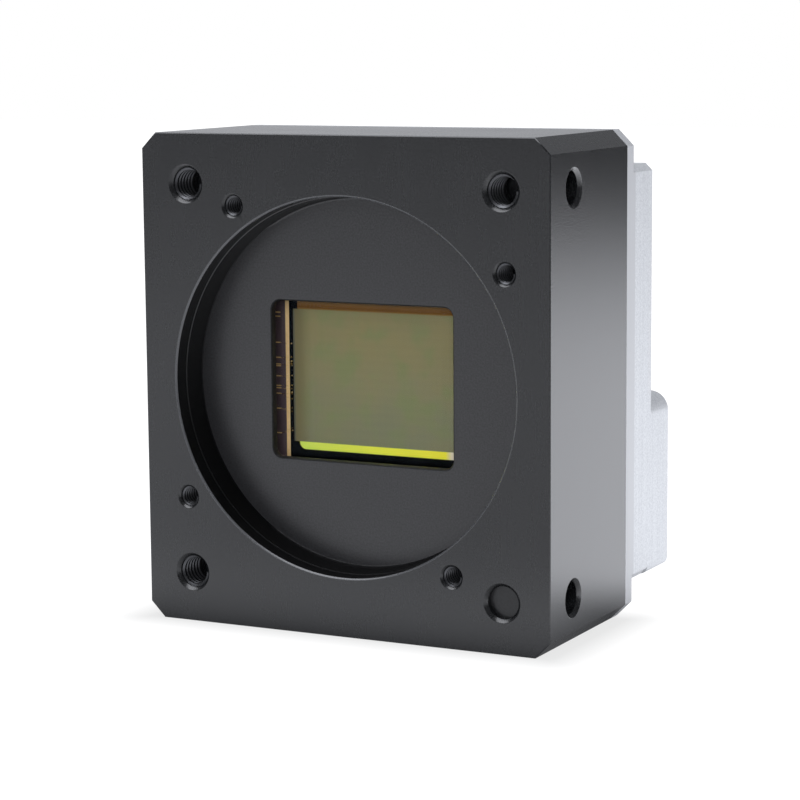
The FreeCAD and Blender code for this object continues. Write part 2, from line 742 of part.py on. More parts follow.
def make_sensor_package():
    """The ceramic package: a bonding shelf inside its wall and a pocket for the die."""
    body = new_body("sensor_package")
    outline = face_sketch(body, "ceramic_outline", "package_front")
    rectangle(outline, "package_width", "package_height")
    pad(body, outline, "ceramic_body", "package_thickness")
    shelf = face_sketch(body, "shelf_outline", "package_front")
    rectangle(shelf, "shelf_width", "shelf_height")
    pocket(body, shelf, "shelf_cavity", "shelf_depth")
    die = face_sketch(body, "die_pocket_outline", "shelf_front")
    rectangle(die, "die_width + 2 * die_gap", "die_height + 2 * die_gap")
    pocket(body, die, "die_pocket", "die_pocket_depth")


def make_bond_fingers():
    """The gold fingers on the shelf, in a column at each side of the die."""
    body = new_body("bond_fingers")
    sketch = face_sketch(body, "finger_outline", "shelf_front - plating")
    middle = "shelf_width / 2 - finger_end_gap - finger_length / 2"
    lowest = "-finger_pitch * (finger_rows - 1) / 2"
    rectangle(sketch, "finger_length", "finger_width", middle, lowest)
    finger = pad(body, sketch, "finger", "plating")
    column = line_of(body, "finger_column", "Z_Axis", "finger_pitch", "finger_rows")
    copies(body, "finger_columns", finger, [column, mirror_in(body, "other_column", "YZ_Plane")])


def make_sensor_pins():
    """The package's pins: a row above and below, and a column at each side."""
    body = new_body("sensor_pins")
    row_end = "-pin_pitch * (pin_columns - 1) / 2"
    rows = face_sketch(body, "row_pin", "package_back")
    rectangle(rows, "pin_size", "pin_size", row_end, "package_height / 2 - pin_pitch / 2")
    pin = pad(body, rows, "first_row_pin", "package_stand")
    across = line_of(body, "along_a_row", "X_Axis", "pin_pitch", "pin_columns")
    copies(body, "row_pins", pin, [across, mirror_in(body, "row_below", "XY_Plane")])

    columns = face_sketch(body, "column_pin", "package_back")
    rectangle(columns, "pin_size", "pin_size", row_end, "-pin_pitch * (pin_side_rows - 1) / 2")
    pin = pad(body, columns, "first_column_pin", "package_stand")
    upright = line_of(body, "along_a_column", "Z_Axis", "pin_pitch", "pin_side_rows")
    copies(body, "column_pins", pin, [upright, mirror_in(body, "other_pin_column", "YZ_Plane")])


def make_sensor():
    """Everything from the foam seal behind the window to the pins on the sensor board."""
    margin = " + 2 * seal_margin"
    inner = ["window_width" + margin, "window_height" + margin]
    outer = [word + " + 2 * seal_width" for word in inner]
    make_frame("dust_seal", "lip_back", "seal_thickness", outer, inner)
    box("sensor_lid", "lid_width", "lid_thickness", "lid_height", "0", "glass_front", "0")
    outer = ["lid_width", "lid_height"]
    make_frame("lid_seal", "bead_front", "bead_thickness", outer, ["shelf_width", "shelf_height"])
    make_sensor_package()
    inner = ["%s + 2 * die_gap + 2 * ground_gap" % word for word in ("die_width", "die_height")]
    outer = [word + " + 2 * ground_width" for word in inner]
    make_frame("ground_ring", "shelf_front - plating", "plating", outer, inner)
    make_bond_fingers()
    box("sensor_die", "die_width", "die_thickness", "die_height", "0", "die_front", "0")
    front = "die_front - array_thickness"
    box("pixel_array", "array_width", "array_thickness", "array_height", "0", front, "0")
    make_sensor_pins()


def make_board(label):
    """A circuit board with its corners cut off."""
    body = new_body(label)
    sketch = face_sketch(body, label + "_outline", label + "_front")
    rectangle(sketch, "board_width", "board_height")
    pad(body, sketch, label + "_sheet", "board_thickness")
    dress(body, "Chamfer", label + "_corners", runs_back("board_thickness"), "board_corner")


def make_board_connector(level, front, z):
    """A plug on one board and the socket above it on the next, joined by the plug's blade."""
    base = box(level + "_plug_base", "plug_width", "plug_base", "plug_height", "0", front, z)
    seam = "%s + plug_base" % front
    blade = box(level + "_plug_blade", "blade_width", "blade_length", "blade_height", "0", seam, z)
    fuse(level + "_board_plug", [base, blade])
    body = box(level + "_socket_body", "plug_width", "board_gap - plug_base", "plug_height", "0", seam, z)
    wide, high = ["%s + 2 * blade_gap" % word for word in ("blade_width", "blade_height")]
    slot = box(level + "_socket_slot", wide, "blade_length + blade_gap", high, "0", seam, z)
    cut(level + "_board_socket", body, slot)


def make_posts(label, front):
    """Four hexagonal posts that keep one board off the next."""
    corner = hexagon(label + "_post", "post_flats", "board_gap", "post_pitch_x / 2", front, "post_pitch_z / 2")
    four_corners(label, corner)


def make_row(label, chip, y, z, pitch, count):
    """Repeat a chip in a row across the board, as one group. The chip is its width, depth and height."""
    width, depth, height = chip
    body = new_body(label)
    sketch = face_sketch(body, label + "_outline", y)
    rectangle(sketch, width, height, "-%s * (%s - 1) / 2" % (pitch, count), z)
    first = pad(body, sketch, label + "_first", depth)
    copies(body, label + "_copies", first, [line_of(body, label + "_row", "X_Axis", pitch, count)])


def make_boards():
    """Three boards, the posts and connectors between them, and the chips on them."""
    for label in ("sensor_board", "processor_board", "interface_board"):
        make_board(label)
    make_posts("front_posts", "sensor_board_back")
    make_posts("rear_posts", "processor_board_back")
    make_board_connector("front", "sensor_board_back", "-plug_offset")
    make_board_connector("rear", "processor_board_back", "plug_offset")

    back = "processor_board_back"
    box("processor_chip", "processor_side", "processor_height", "processor_side", "0", back, "processor_level")
    beside = "processor_side / 2 + memory_gap + memory_width / 2"
    chip = ["memory_width", "memory_thickness", "memory_height"]
    right = box("right_memory_chip", *chip, beside, back, "processor_level")
    mirrored("left_memory_chip", right, ACROSS)
    box("clock_module", "clock_width", "clock_thickness", "clock_height", "0", back, "clock_level")

    front = "interface_board_front - driver_thickness"
    make_row("link_driver_chips", ["driver_width", "driver_thickness", "driver_height"],
             front, "0", "driver_pitch", "driver_count")
    make_row("power_capacitors", ["capacitor_width", "capacitor_thickness", "capacitor_height"],
             "interface_board_back", "plug_offset", "capacitor_pitch", "capacitor_count")
    box("power_coil", "coil_side", "coil_thickness", "coil_side", "0", "interface_board_back", "service_height")


def make_link_sockets():
    """Each link socket: flange with shroud, insulator with tongue, and its two rows of contacts."""
    spot = ["link_offset", "link_level"]
    metal = new_body("right_link_shell")
    flange = face_sketch(metal, "flange_outline", "flange_front")
    rectangle(flange, "flange_width", "flange_height", *spot)
    pad(metal, flange, "socket_flange", "flange_thickness")
    shroud = face_sketch(metal, "shroud_outline", "second_inside")
    rounded_box(shroud, "shroud_width", "shroud_height", "shroud_corner", *spot)
    pad(metal, shroud, "socket_shroud", "shroud_back - second_inside")
    mouth = face_sketch(metal, "mouth_outline", "flange_front")
    inside = ["%s - 2 * shroud_wall" % word for word in ("shroud_width", "shroud_height")]
    rounded_box(mouth, *inside, "shroud_corner - shroud_wall", *spot)
    pocket(metal, mouth, "socket_mouth", "shroud_back - flange_front")
    ears = face_sketch(metal, "ear_holes", "flange_front")
    for x in span("link_offset", "jack_pitch"):
        circle(ears, "jack_thread", x, "link_level")
    pocket(metal, ears, "ear_openings", "flange_thickness")

    plastic = new_body("right_link_insulator")
    base = face_sketch(plastic, "base_outline", "interface_board_back")
    rectangle(base, "base_width", "base_height", *spot)
    pad(plastic, base, "insulator_base", "flange_front - interface_board_back")
    tongue = face_sketch(plastic, "tongue_outline", "flange_front")
    rectangle(tongue, "tongue_width", "tongue_height", *spot)
    pad(plastic, tongue, "insulator_tongue", "shroud_back - tongue_setback - flange_front")

    gold = new_body("right_link_contacts")
    front = "shroud_back - tongue_setback - contact_thickness - contact_length"
    strip = face_sketch(gold, "contact_outline", front)
    leftmost = "link_offset - tongue_width / 2 + contact_margin"
    for level in span("link_level", "tongue_height + contact_thickness"):
        rectangle(strip, "contact_width", "contact_thickness", leftmost, level)
    pair = pad(gold, strip, "contact_pair", "contact_length")
    row = line_of(gold, "contact_row", "X_Axis", "contact_pitch", "contact_columns")
    copies(gold, "contact_rows", pair, [row])
    for piece, name in ((metal, "shell"), (plastic, "insulator"), (gold, "contacts")):
        mirrored("left_link_" + name, piece, ACROSS)


def make_jack_screws():
    """Hexagonal screws that clamp each link socket's flange to the back wall."""
    screws = []
    for name, x in zip(("inner_jack", "outer_jack"), span("link_offset", "jack_pitch")):
        head = hexagon(name + "_head", "jack_flats", "jack_height", x, "second_back", "link_level")
        thread = "jack_thread - 2 * thread_gap"
        stud = rod(name + "_stud", thread, "jack_length", x, "second_back - jack_length", "link_level")
        deep = "second_back + jack_height - jack_bore_depth"
        hole = rod(name + "_bore", "jack_bore", "jack_bore_depth", x, deep, "link_level")
        screws.append(cut(name, fuse(name + "_blank", [head, stud]), hole))
    group("jack_screws", screws + [mirrored(screw.Name + "_mirrored", screw, ACROSS) for screw in screws])


def make_power_socket():
    """The round power socket: shell with flange, insulator, pins and the nut inside the wall."""
    x, z = spot = ["service_offset", "service_height"]
    tail_front = "first_inside - power_tail"
    tail = rod("power_tail_body", "power_thread", "power_tail + back_wall", x, tail_front, z)
    flange = rod("power_flange_disc", "power_flange", "power_flange_depth", x, "first_back", z)
    barrel = rod("power_barrel_body", "power_barrel", "power_reach", x, "first_back", z)
    bore = rod("power_bore_space", "power_bore", "power_tail + back_wall + power_reach", x, tail_front, z)
    cut("power_shell", fuse("power_shell_blank", [tail, flange, barrel]), bore)
    rod("power_insert", "power_bore - 2 * insert_gap", "insert_back - interface_board_back",
        x, "interface_board_back", z)

    pins = new_body("power_pins")
    outline = face_sketch(pins, "power_pin_outline", "insert_back")
    circle(outline, "power_pin", x + " + power_pin_circle / 2", z)
    for turn in range(1, int(number("power_pins_count"))):
        angle = "(%d * %d / power_pins_count)" % (FULL_CIRCLE, turn)
        reach = [word + " + power_pin_circle / 2 * " + way + angle for word, way in zip(spot, ("cos", "sin"))]
        circle(outline, "power_pin", *reach)
    pad(pins, outline, "power_pin_rods", "insert_setback - power_pin_setback")

    nut_front = "first_inside - nut_thickness"
    blank = hexagon("power_nut_blank", "nut_flats", "nut_thickness", x, nut_front, z)
    cut("power_nut", blank, rod("power_nut_bore", "power_thread", "nut_thickness", x, nut_front, z))


def make_status_light():
    """A clear light guide through the wall, over a small light source."""
    x, z = "-service_offset", "service_height"
    box("status_led", "led_side", "led_thickness", "led_side", x, "interface_board_back", z)
    start = "interface_board_back + led_thickness"
    rod("status_light", "light_diameter", "first_back + light_reach - (%s)" % start, x, start, z)


def make_closing_screws():
    """Socket-head screws through the rim into the front block, driven from behind."""
    spot = ["closing_pitch_x / 2", "closing_height"]
    thread = "closing_screw - 2 * thread_gap"
    shank = rod("closing_shank", thread, "closing_length", spot[0], "rim_back - closing_length", spot[1])
    head = rod("closing_screw_head", "closing_head", "closing_head_height", spot[0], "rim_back", spot[1])
    deep = "rim_back + closing_head_height - closing_key_depth"
    key = hexagon("closing_screw_key", "closing_key", "closing_key_depth", spot[0], deep, spot[1])
    four_corners("closing_screws", cut("corner_screw", fuse("corner_screw_blank", [shank, head]), key))


make_front_housing()
make_rear_housing()
make_closing_screws()
make_sensor()
make_boards()
make_link_sockets()
make_jack_screws()
make_power_socket()
make_status_light()
doc.recompute()

NODES = [
    "front_housing", "rear_housing", "closing_screws",
    "dust_seal", "sensor_lid", "lid_seal", "sensor_package", "ground_ring", "bond_fingers",
    "sensor_die", "pixel_array", "sensor_pins",
    "sensor_board", "processor_board", "interface_board", "front_posts", "rear_posts",
    "front_board_plug", "front_board_socket", "rear_board_plug", "rear_board_socket",
    "processor_chip", "left_memory_chip", "right_memory_chip", "clock_module",
    "link_driver_chips", "power_capacitors", "power_coil",
    "left_link_shell", "right_link_shell", "left_link_insulator", "right_link_insulator",
    "left_link_contacts", "right_link_contacts", "jack_screws",
    "power_shell", "power_insert", "power_pins", "power_nut", "status_light", "status_led",
]

for thing in doc.Objects:
    if "Invalid" in thing.State or "Error" in thing.State:
        raise RuntimeError(thing.Name + " failed")
for label in NODES:
    shape = doc.getObject(label).Shape
    if shape.isNull() or not shape.isValid() or not shape.Solids:
        raise RuntimeError(label + " is not a sound solid")

os.makedirs("parts", exist_ok=True)
for label in NODES:
    doc.getObject(label).Shape.exportStep("parts/%s.step" % label)
print(len(NODES), "pieces written")
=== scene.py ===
# %% [markdown]
# # Dressing a machine vision camera
# The solids of this small industrial camera come from a CAD model, and this file gives them their
# looks. The camera is a black block, milled from aluminium, with a round recess for a lens and an
# image sensor behind a window. A silver cover with the sockets closes it from behind. The cells
# place the photographer's camera, mix the finishes, and model each piece that deserves more than
# its plain solid.

import math

import bpy
from mathutils import Matrix, Vector


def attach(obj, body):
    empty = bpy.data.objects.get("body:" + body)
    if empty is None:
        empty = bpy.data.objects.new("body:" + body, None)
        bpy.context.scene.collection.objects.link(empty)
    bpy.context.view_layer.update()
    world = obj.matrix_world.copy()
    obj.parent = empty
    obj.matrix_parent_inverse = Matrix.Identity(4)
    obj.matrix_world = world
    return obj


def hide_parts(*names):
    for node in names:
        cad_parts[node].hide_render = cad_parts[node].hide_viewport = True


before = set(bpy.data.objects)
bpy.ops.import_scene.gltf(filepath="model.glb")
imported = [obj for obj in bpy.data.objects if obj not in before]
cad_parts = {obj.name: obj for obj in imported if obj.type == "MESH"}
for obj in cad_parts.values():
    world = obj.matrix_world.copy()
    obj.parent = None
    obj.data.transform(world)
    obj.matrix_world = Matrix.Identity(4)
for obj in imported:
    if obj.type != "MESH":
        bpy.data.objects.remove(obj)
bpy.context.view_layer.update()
print("solids:", len(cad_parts))

# %% [markdown]
# ## Units
# Blender works in metres here, but a camera of 56 by 62 mm is easier to think of in millimetres.
# So every size below is written in millimetres and multiplied once by `MM`. X runs to the right
# seen from the front, Y from the front face backwards, and Z up. The origin is where the optical
# axis meets the front face.

# %% Units and the main sizes, in millimetres
MM = 0.001
HALF_WIDTH = 28.0
HALF_HEIGHT = 31.0
BLOCK_BACK = 23.6
RIM_BACK = 26.2
FIRST_BACK = 32.2
SECOND_BACK = 38.3
RECESS_RADIUS = 23.5
RECESS_STEP = 2.3
RECESS_DEPTH = 5.5
LARGE_X, LARGE_Z = 21.65, 24.65
SCREW_PLACES = [(x, z) for x in (-21.0, 21.0) for z in (-28.75, 28.75)]
print("front block:", 2 * HALF_WIDTH, "x", 2 * HALF_HEIGHT, "x", BLOCK_BACK, "mm")

# %% [markdown]
# ## The photographer's camera
# The photo was taken with a long lens, a little from the right and a little from above. A camera
# model fitted to the corners and holes gives the place and the turn. The three directions are the
# columns of the camera's matrix: its right, its up, and its back.

# %% The photographer's camera
EYE = Vector((149.5685, -276.2548, 44.0164)) * MM
EYE_RIGHT = Vector((0.89064391, 0.45463646, -0.00768875))
EYE_UP = Vector((-0.05822519, 0.13080219, 0.98969723))
EYE_BACK = Vector((0.45095816, -0.88102013, 0.14296947))
FOCAL_LENGTH = 116.767

bpy.ops.object.select_all(action="DESELECT")
bpy.ops.object.camera_add()
eye = bpy.context.object
eye.name = "photo_camera"
turn = Matrix((EYE_RIGHT, EYE_UP, EYE_BACK)).transposed().to_4x4()
eye.matrix_world = Matrix.Translation(EYE) @ turn
eye.data.sensor_width = 36.0
eye.data.lens = FOCAL_LENGTH
eye.data.clip_start = 0.01
eye.data.clip_end = 20.0
bpy.context.scene.camera = eye
bpy.context.scene.view_settings.view_transform = "Standard"
print("distance to the front face:", round(EYE.length / MM, 1), "mm")

# %% [markdown]
# ## Colours and nodes
# Paint and metal colours are picked on a screen, which means in sRGB. Cycles calculates in linear
# light, so one function turns a hex value to linear. The next two add a shader node, and fill
# or link its inputs.

# %% Colours and nodes
def linear(code):
    """Turn a hex colour such as 38393b to the four linear numbers of a colour socket."""
    parts = [int(code[start:start + 2], 16) / 255 for start in (0, 2, 4)]
    light = [part / 12.92 if part <= 0.04045 else ((part + 0.055) / 1.055) ** 2.4 for part in parts]
    return light + [1.0]


def feed(tree, node, inputs):
    """Fill inputs with values or hex colours, or link them to sockets or a node's used output."""
    for name, value in inputs.items():
        if isinstance(value, str):
            value = linear(value)
        if isinstance(value, bpy.types.Node):
            value = next(output for output in value.outputs if output.enabled)
        if isinstance(value, bpy.types.NodeSocket):
            tree.links.new(value, node.inputs[name])
        else:
            node.inputs[name].default_value = value


def add(tree, kind, inputs=None, stops=None, **settings):
    """Add a shader node with its inputs, such as Math, or Math MULTIPLY to choose what it does.
    Stops are a ramp's places and colours."""
    kind, _, choice = kind.partition(" ")
    node = tree.nodes.new("ShaderNode" + kind)
    if choice:
        setattr(node, "data_type" if kind == "Mix" else "operation", choice)
    for name, value in settings.items():
        setattr(node, name, value)
    feed(tree, node, inputs or {})
    for count, (place, code) in enumerate(stops or []):
        ramp = node.color_ramp
        stop = ramp.elements[count] if count < 2 else ramp.elements.new(place)
        stop.position, stop.color = place, linear(code)
    return node


def finish(name, colour, **sockets):
    """Start a finish with one colour and its shader's plain settings."""
    material = bpy.data.materials.new(name)
    material.use_nodes = True
    shader = material.node_tree.nodes["Principled BSDF"]
    shader.inputs["Base Color"].default_value = linear(colour)
    for socket, value in sockets.items():
        shader.inputs[socket.replace("_", " ")].default_value = value
    return material.node_tree, shader


print("a mid grey, 808080, is", round(linear("808080")[0], 3), "in linear light")

# %% [markdown]
# ## Black anodised aluminium
# The block is milled, blasted with fine beads and anodised black. The dye sits in a clear oxide
# layer, so the surface is dark but shines like a dielectric. The metal under the oxide adds to the
# shine, which an index of refraction of about 2 stands for. Three patterns make it: grains of
# 0.22 mm from the blasting, broad clouds in the gloss, and faint streaks along Z that the side
# cutter left on the outer faces. Real blasting marks are about 0.05 mm. They are drawn four times
# coarser, because finer ones would vanish in the picture.

# %% Black anodised aluminium
BLASTED_GRAIN = 0.22 * MM
CUTTER_STREAK = 0.5 * MM
MARK_RISE = 0.02 * MM

tree, black = finish("blasted_black_anodised_aluminium", "131416", Roughness=0.33, IOR=2.1)
place = add(tree, "TexCoord").outputs["Object"]
clouds = add(tree, "TexNoise", {"Vector": place, "Scale": 150.0, "Detail": 3.0})
stretched = add(tree, "Mapping", {"Vector": place, "Scale": (1.0, 1.0, 0.02)})
streaks = add(tree, "TexNoise", {"Vector": stretched, "Scale": 1 / CUTTER_STREAK, "Detail": 2.0})
gloss = add(tree, "Mix", {0: 0.35, 2: clouds, 3: streaks})
spread = add(tree, "MapRange", {"Value": gloss, "To Min": 0.2, "To Max": 0.34})
grain = add(tree, "TexNoise", {"Vector": place, "Scale": 1 / BLASTED_GRAIN, "Detail": 1.0})
speck = add(tree, "Mix", {0: 0.8, 2: gloss, 3: grain})
tint = add(tree, "ValToRGB", {"Fac": speck}, stops=[(0.35, "060708"), (0.65, "1c1d1f")])
grain_bump = add(tree, "Bump", {"Height": grain, "Strength": 0.5, "Distance": MARK_RISE})
relief = add(tree, "Bump", {"Height": streaks, "Strength": 0.12, "Distance": MARK_RISE,
                            "Normal": grain_bump})
print("patterns of the black finish:", len(tree.nodes), "nodes")

# %% [markdown]
# The black finish changes with the place. The wall of the lens recess is turned on a lathe after
# the blasting, and its fine grooves swallow light. The wall also carries painted shade: a share of
# nearly black metal in a near-black colour, most at the foot and least at the top, and a touch less
# on the step. The edge of the window carries painted shade of about half, and the closed bottom
# right hole a fifth. The floor of the recess is a touch greyer than the outside, and the bevel of
# its mouth carries a painted highlight in a lighter grey. Each place is a mask, a number of 0 or 1
# from comparisons of X, Y, Z or a radius.

# %% Where the black finish changes
x, y, z = add(tree, "SeparateXYZ", {"Vector": place}).outputs
flat = add(tree, "CombineXYZ", {"X": x, "Y": z})
radius = add(tree, "VectorMath LENGTH", {0: flat})
inside = add(tree, "Math LESS_THAN", {0: radius, 1: (RECESS_RADIUS + 0.02) * MM})
outer = add(tree, "Math GREATER_THAN", {0: radius, 1: (RECESS_RADIUS - 0.5) * MM})
deep = add(tree, "Math GREATER_THAN", {0: y, 1: (RECESS_DEPTH - 0.05) * MM})
floor_part = add(tree, "Math MULTIPLY", {0: inside, 1: deep})
# Painted shade on the window's edge and walls, deeper than the recess floor, at half strength.
edge = add(tree, "Math GREATER_THAN", {0: y, 1: (RECESS_DEPTH + 0.04) * MM})
half = add(tree, "Math MULTIPLY", {0: edge, 1: 0.5})
# Painted shade on the recess wall: most at the foot, least at the top, and a touch less on the
# step.
ledge = add(tree, "Math COMPARE", {0: y, 1: (RECESS_STEP - 0.02) * MM, 2: 0.05 * MM})
low_wall = add(tree, "MapRange", {"Value": z, "From Min": -15 * MM, "From Max": 18 * MM,
                                  "To Min": 0.8, "To Max": 0.12})
painted_wall_shade = add(tree, "Math MULTIPLY_ADD", {0: ledge, 1: -0.06, 2: low_wall})
most = add(tree, "Math MULTIPLY", {0: outer, 1: painted_wall_shade})
painted_wall_and_edge_shade = add(tree, "Math MAXIMUM", {0: half, 1: most})
painted_recess_shade = add(tree, "Math MULTIPLY", {0: inside, 1: painted_wall_and_edge_shade})
# Painted shade in the closed bottom right hole, at a fifth.
aside = add(tree, "VectorMath DISTANCE", {0: flat, 1: (LARGE_X * MM, -LARGE_Z * MM, 0)})
plug_round = add(tree, "Math LESS_THAN", {0: aside, 1: 2.0 * MM})
painted_plug_shade = add(tree, "Math MULTIPLY", {0: plug_round, 1: 0.2})
painted_shade_mask = add(tree, "Math MAXIMUM", {0: painted_recess_shade, 1: painted_plug_shade})
across = add(tree, "Math ABSOLUTE", {0: x})
flank = add(tree, "Math GREATER_THAN", {0: across, 1: (HALF_WIDTH - 0.1) * MM})
# Painted highlight on the bevel of the recess mouth.
on_bevel = add(tree, "Math COMPARE", {0: radius, 1: (RECESS_RADIUS + 0.12) * MM, 2: 0.12 * MM})
ahead = add(tree, "Math LESS_THAN", {0: y, 1: 0.21 * MM})
mouth = add(tree, "Math MULTIPLY", {0: on_bevel, 1: ahead})
print("with the masks:", len(tree.nodes), "nodes")

# %% Gloss and colour by place
glossier = add(tree, "Mix", {0: flank, 2: spread, 3: 0.21})
smoother = add(tree, "Mix", {0: floor_part, 2: glossier, 3: 0.34})
rougher = add(tree, "Mix", {0: painted_shade_mask, 2: smoother, 3: 0.7})
floor_tint = add(tree, "ValToRGB", {"Fac": grain}, stops=[(0.35, "131314"), (0.65, "2d2d2f")])
colour = add(tree, "Mix RGBA", {0: floor_part, 6: tint, 7: floor_tint})
# Painted shade takes a near-black colour, and the painted highlight on the mouth bevel a lighter
# grey.
for mask, shade in ((painted_shade_mask, "080809"), (mouth, "4a4b4d")):
    colour = add(tree, "Mix RGBA", {0: mask, 6: colour, 7: shade})
# The painted shade also takes a share of near-black metal and a rougher gloss.
feed(tree, black, {"Base Color": colour, "Metallic": painted_shade_mask, "Roughness": rougher,
                   "Normal": relief})
print("black finish:", len(tree.nodes), "nodes")

# %% [markdown]
# ## Silver anodised aluminium
# The cover behind is the same metal, anodised without dye. It is a metal to the eye, but the oxide
# layer spreads its gloss. Its streaks are wider than on the black block and run along Z as well.
# The rim next to the block is cut with a finer tool and looks a little darker.

# %% Silver anodised aluminium
COVER_STREAK = 0.9 * MM

tree, silver = finish("satin_silver_anodised_aluminium", "dadbdf", Metallic=0.5, Roughness=0.5)
place = add(tree, "TexCoord").outputs["Object"]
stretched = add(tree, "Mapping", {"Vector": place, "Scale": (1.0, 1.0, 0.015)})
streaks = add(tree, "TexNoise", {"Vector": stretched, "Scale": 1 / COVER_STREAK, "Detail": 3.0})
grain = add(tree, "TexNoise", {"Vector": place, "Scale": 1 / BLASTED_GRAIN, "Detail": 2.0})
sandy = add(tree, "Mix", {0: 0.7, 2: streaks, 3: grain})
tint = add(tree, "ValToRGB", {"Fac": sandy}, stops=[(0.35, "c4c6c9"), (0.65, "dddfe1")])
y = add(tree, "SeparateXYZ", {"Vector": place}).outputs["Y"]
ahead = add(tree, "Math LESS_THAN", {0: y, 1: (RIM_BACK + 0.1) * MM})
shade = add(tree, "Mix RGBA", {0: ahead, 6: tint, 7: "c4c5c7"})
spread = add(tree, "MapRange", {"Value": streaks, "To Min": 0.44, "To Max": 0.58})
relief = add(tree, "Bump", {"Height": grain, "Strength": 0.2, "Distance": MARK_RISE})
feed(tree, silver, {"Base Color": shade, "Roughness": spread, "Normal": relief})
print("silver finish:", len(tree.nodes), "nodes")

# %% [markdown]
# ## Finishes of the small parts
# The other surfaces differ in colour, gloss and grain, but not in kind. One helper makes a finish
# whose noise has a real grain size in millimetres. The noise moves the colour between two near
# shades, changes the gloss and raises the surface a little. Metals keep the default index of
# refraction. Plastics and ceramics get the one of their kind.

# %% A finish with a grain
def grained(name, dark, light, size, rough, rise, **sockets):
    """Make a finish from two shades, a grain size and rise in millimetres, and two roughnesses."""
    tree, shader = finish(name, light, **sockets)
    place = add(tree, "TexCoord").outputs["Object"]
    grain = add(tree, "TexNoise", {"Vector": place, "Scale": 1 / (size * MM), "Detail": 3.0})
    shade = add(tree, "ValToRGB", {"Fac": grain}, stops=[(0.35, dark), (0.65, light)])
    gloss = add(tree, "MapRange", {"Value": grain, "From Min": 0.3, "From Max": 0.7,
                                   "To Min": rough[0], "To Max": rough[1]})
    relief = add(tree, "Bump", {"Height": grain, "Strength": 0.6, "Distance": rise * MM})
    feed(tree, shader, {"Base Color": shade, "Roughness": gloss, "Normal": relief})
    return tree, shader, place


# %% Metals
# Gold paste, printed on ceramic and fired: a dull, pale gold with a sandy grain.
grained("fired_gold_paste", "d2b077", "e1c088", 0.12, (0.5, 0.65), 0.01, Metallic=0.1)
# Gold plated over nickel by electrolysis: warm, bright and nearly smooth.
grained("electroplated_gold", "d3a955", "e6c172", 0.3, (0.2, 0.32), 0.004, Metallic=1.0)
# Zinc that is die cast and nickel plated: a warm grey mirror with a slight orange peel.
grained("nickel_plated_zinc", "b2aea7", "bab7b0", 0.8, (0.24, 0.32), 0.004, Metallic=0.9)
# Stainless steel, cold headed: cooler and darker than nickel, with short drawing marks.
grained("cold_headed_stainless_steel", "9b9c9e", "adaeb0", 0.2, (0.28, 0.42), 0.006, Metallic=1.0)
# Aluminium in a tapped thread, cut through the black layer: grey, with fine marks of the tap.
grained("tapped_aluminium", "747578", "929396", 0.1, (0.3, 0.42), 0.004, Metallic=1.0)
# Brass, turned from hexagonal bar: yellow, with the marks of the turning tool.
grained("turned_brass", "b8954e", "caa860", 0.15, (0.25, 0.4), 0.006, Metallic=1.0)
print("metals mixed")

# %% Plastics, ceramics and glue
# Liquid crystal polymer, moulded for connectors: a matt black that greys where its fibres show.
grained("moulded_connector_polymer", "141416", "1f1f21", 0.25, (0.42, 0.6), 0.008, IOR=1.6)
# Epoxy with glass powder, moulded over chips: charcoal, with the sparkle of an eroded mould.
grained("moulded_chip_epoxy", "1b1b1d", "28282b", 0.08, (0.5, 0.66), 0.008, IOR=1.55)
# Alumina, coloured dark, pressed and fired: a reddish black that is almost matt.
grained("fired_dark_alumina", "3e3135", "4e3e43", 0.15, (0.45, 0.6), 0.01, IOR=1.76)
# Barium titanate with tin ends, as on chip capacitors: a dull tan.
grained("fired_capacitor_ceramic", "9b7f5a", "b39468", 0.1, (0.4, 0.55), 0.006, IOR=1.8)
# Epoxy glue, cured as a bead: brown, glassy, with slow waves.
grained("cured_epoxy_glue", "2a2119", "3a2d20", 1.2, (0.12, 0.25), 0.02, IOR=1.54, Coat_Weight=0.3)
# Open-cell rubber foam, cut from sheet: pores of 0.3 mm make it matt and soft.
grained("open_cell_rubber_foam", "0b0b0c", "19191a", 0.3, (0.85, 0.95), 0.12, IOR=1.52)
# Silicon under a dark passivation layer: almost black, and smooth as a mirror.
grained("passivated_silicon", "030405", "07080a", 1.5, (0.12, 0.2), 0.001, IOR=1.5,
        Specular_Tint=linear("202830"))
# Epoxy over the status diode: milky yellow, as its phosphor.
grained("phosphor_epoxy", "d9d3a2", "e8e3b8", 0.1, (0.3, 0.45), 0.004, IOR=1.53)
print("plastics and ceramics mixed")

# %% [markdown]
# ## Glass, light guide and circuit board
# The cover glass of a sensor has a coating that lets nearly all light through, so it mirrors only a
# tenth of what plain glass does. A dark, bluish specular tint stands for that. Cycles finds its way
# to a lamp through real glass only by luck, which gives grain. So shadow rays pass it as if it were
# clear. The light guide is polycarbonate, slightly milky so that it glows evenly. A circuit board
# is glass cloth in epoxy under green solder mask, and its tracks show as lighter lines.

# %% Glass, light guide and circuit board
def clear(name, tint, share, **sockets):
    """Make a see-through finish that lamps shine through. A share of 1 is clear, less is milky."""
    tree, shader = finish(name, tint, Transmission_Weight=share, **sockets)
    place = add(tree, "TexCoord").outputs["Object"]
    haze = add(tree, "TexNoise", {"Vector": place, "Scale": 1 / (4 * MM), "Detail": 2.0})
    soft = add(tree, "MapRange", {"Value": haze, "To Max": 0.03})
    feed(tree, shader, {"Roughness": soft})
    ray = add(tree, "LightPath").outputs["Is Shadow Ray"]
    both = add(tree, "MixShader", {0: ray, 1: shader, 2: add(tree, "BsdfTransparent")})
    feed(tree, tree.nodes["Material Output"], {"Surface": both})


clear("coated_cover_glass", "fbfcfb", 1.0, IOR=1.52, Specular_Tint=linear("3c4450"))
clear("milky_polycarbonate", "e9efee", 0.5, IOR=1.585)

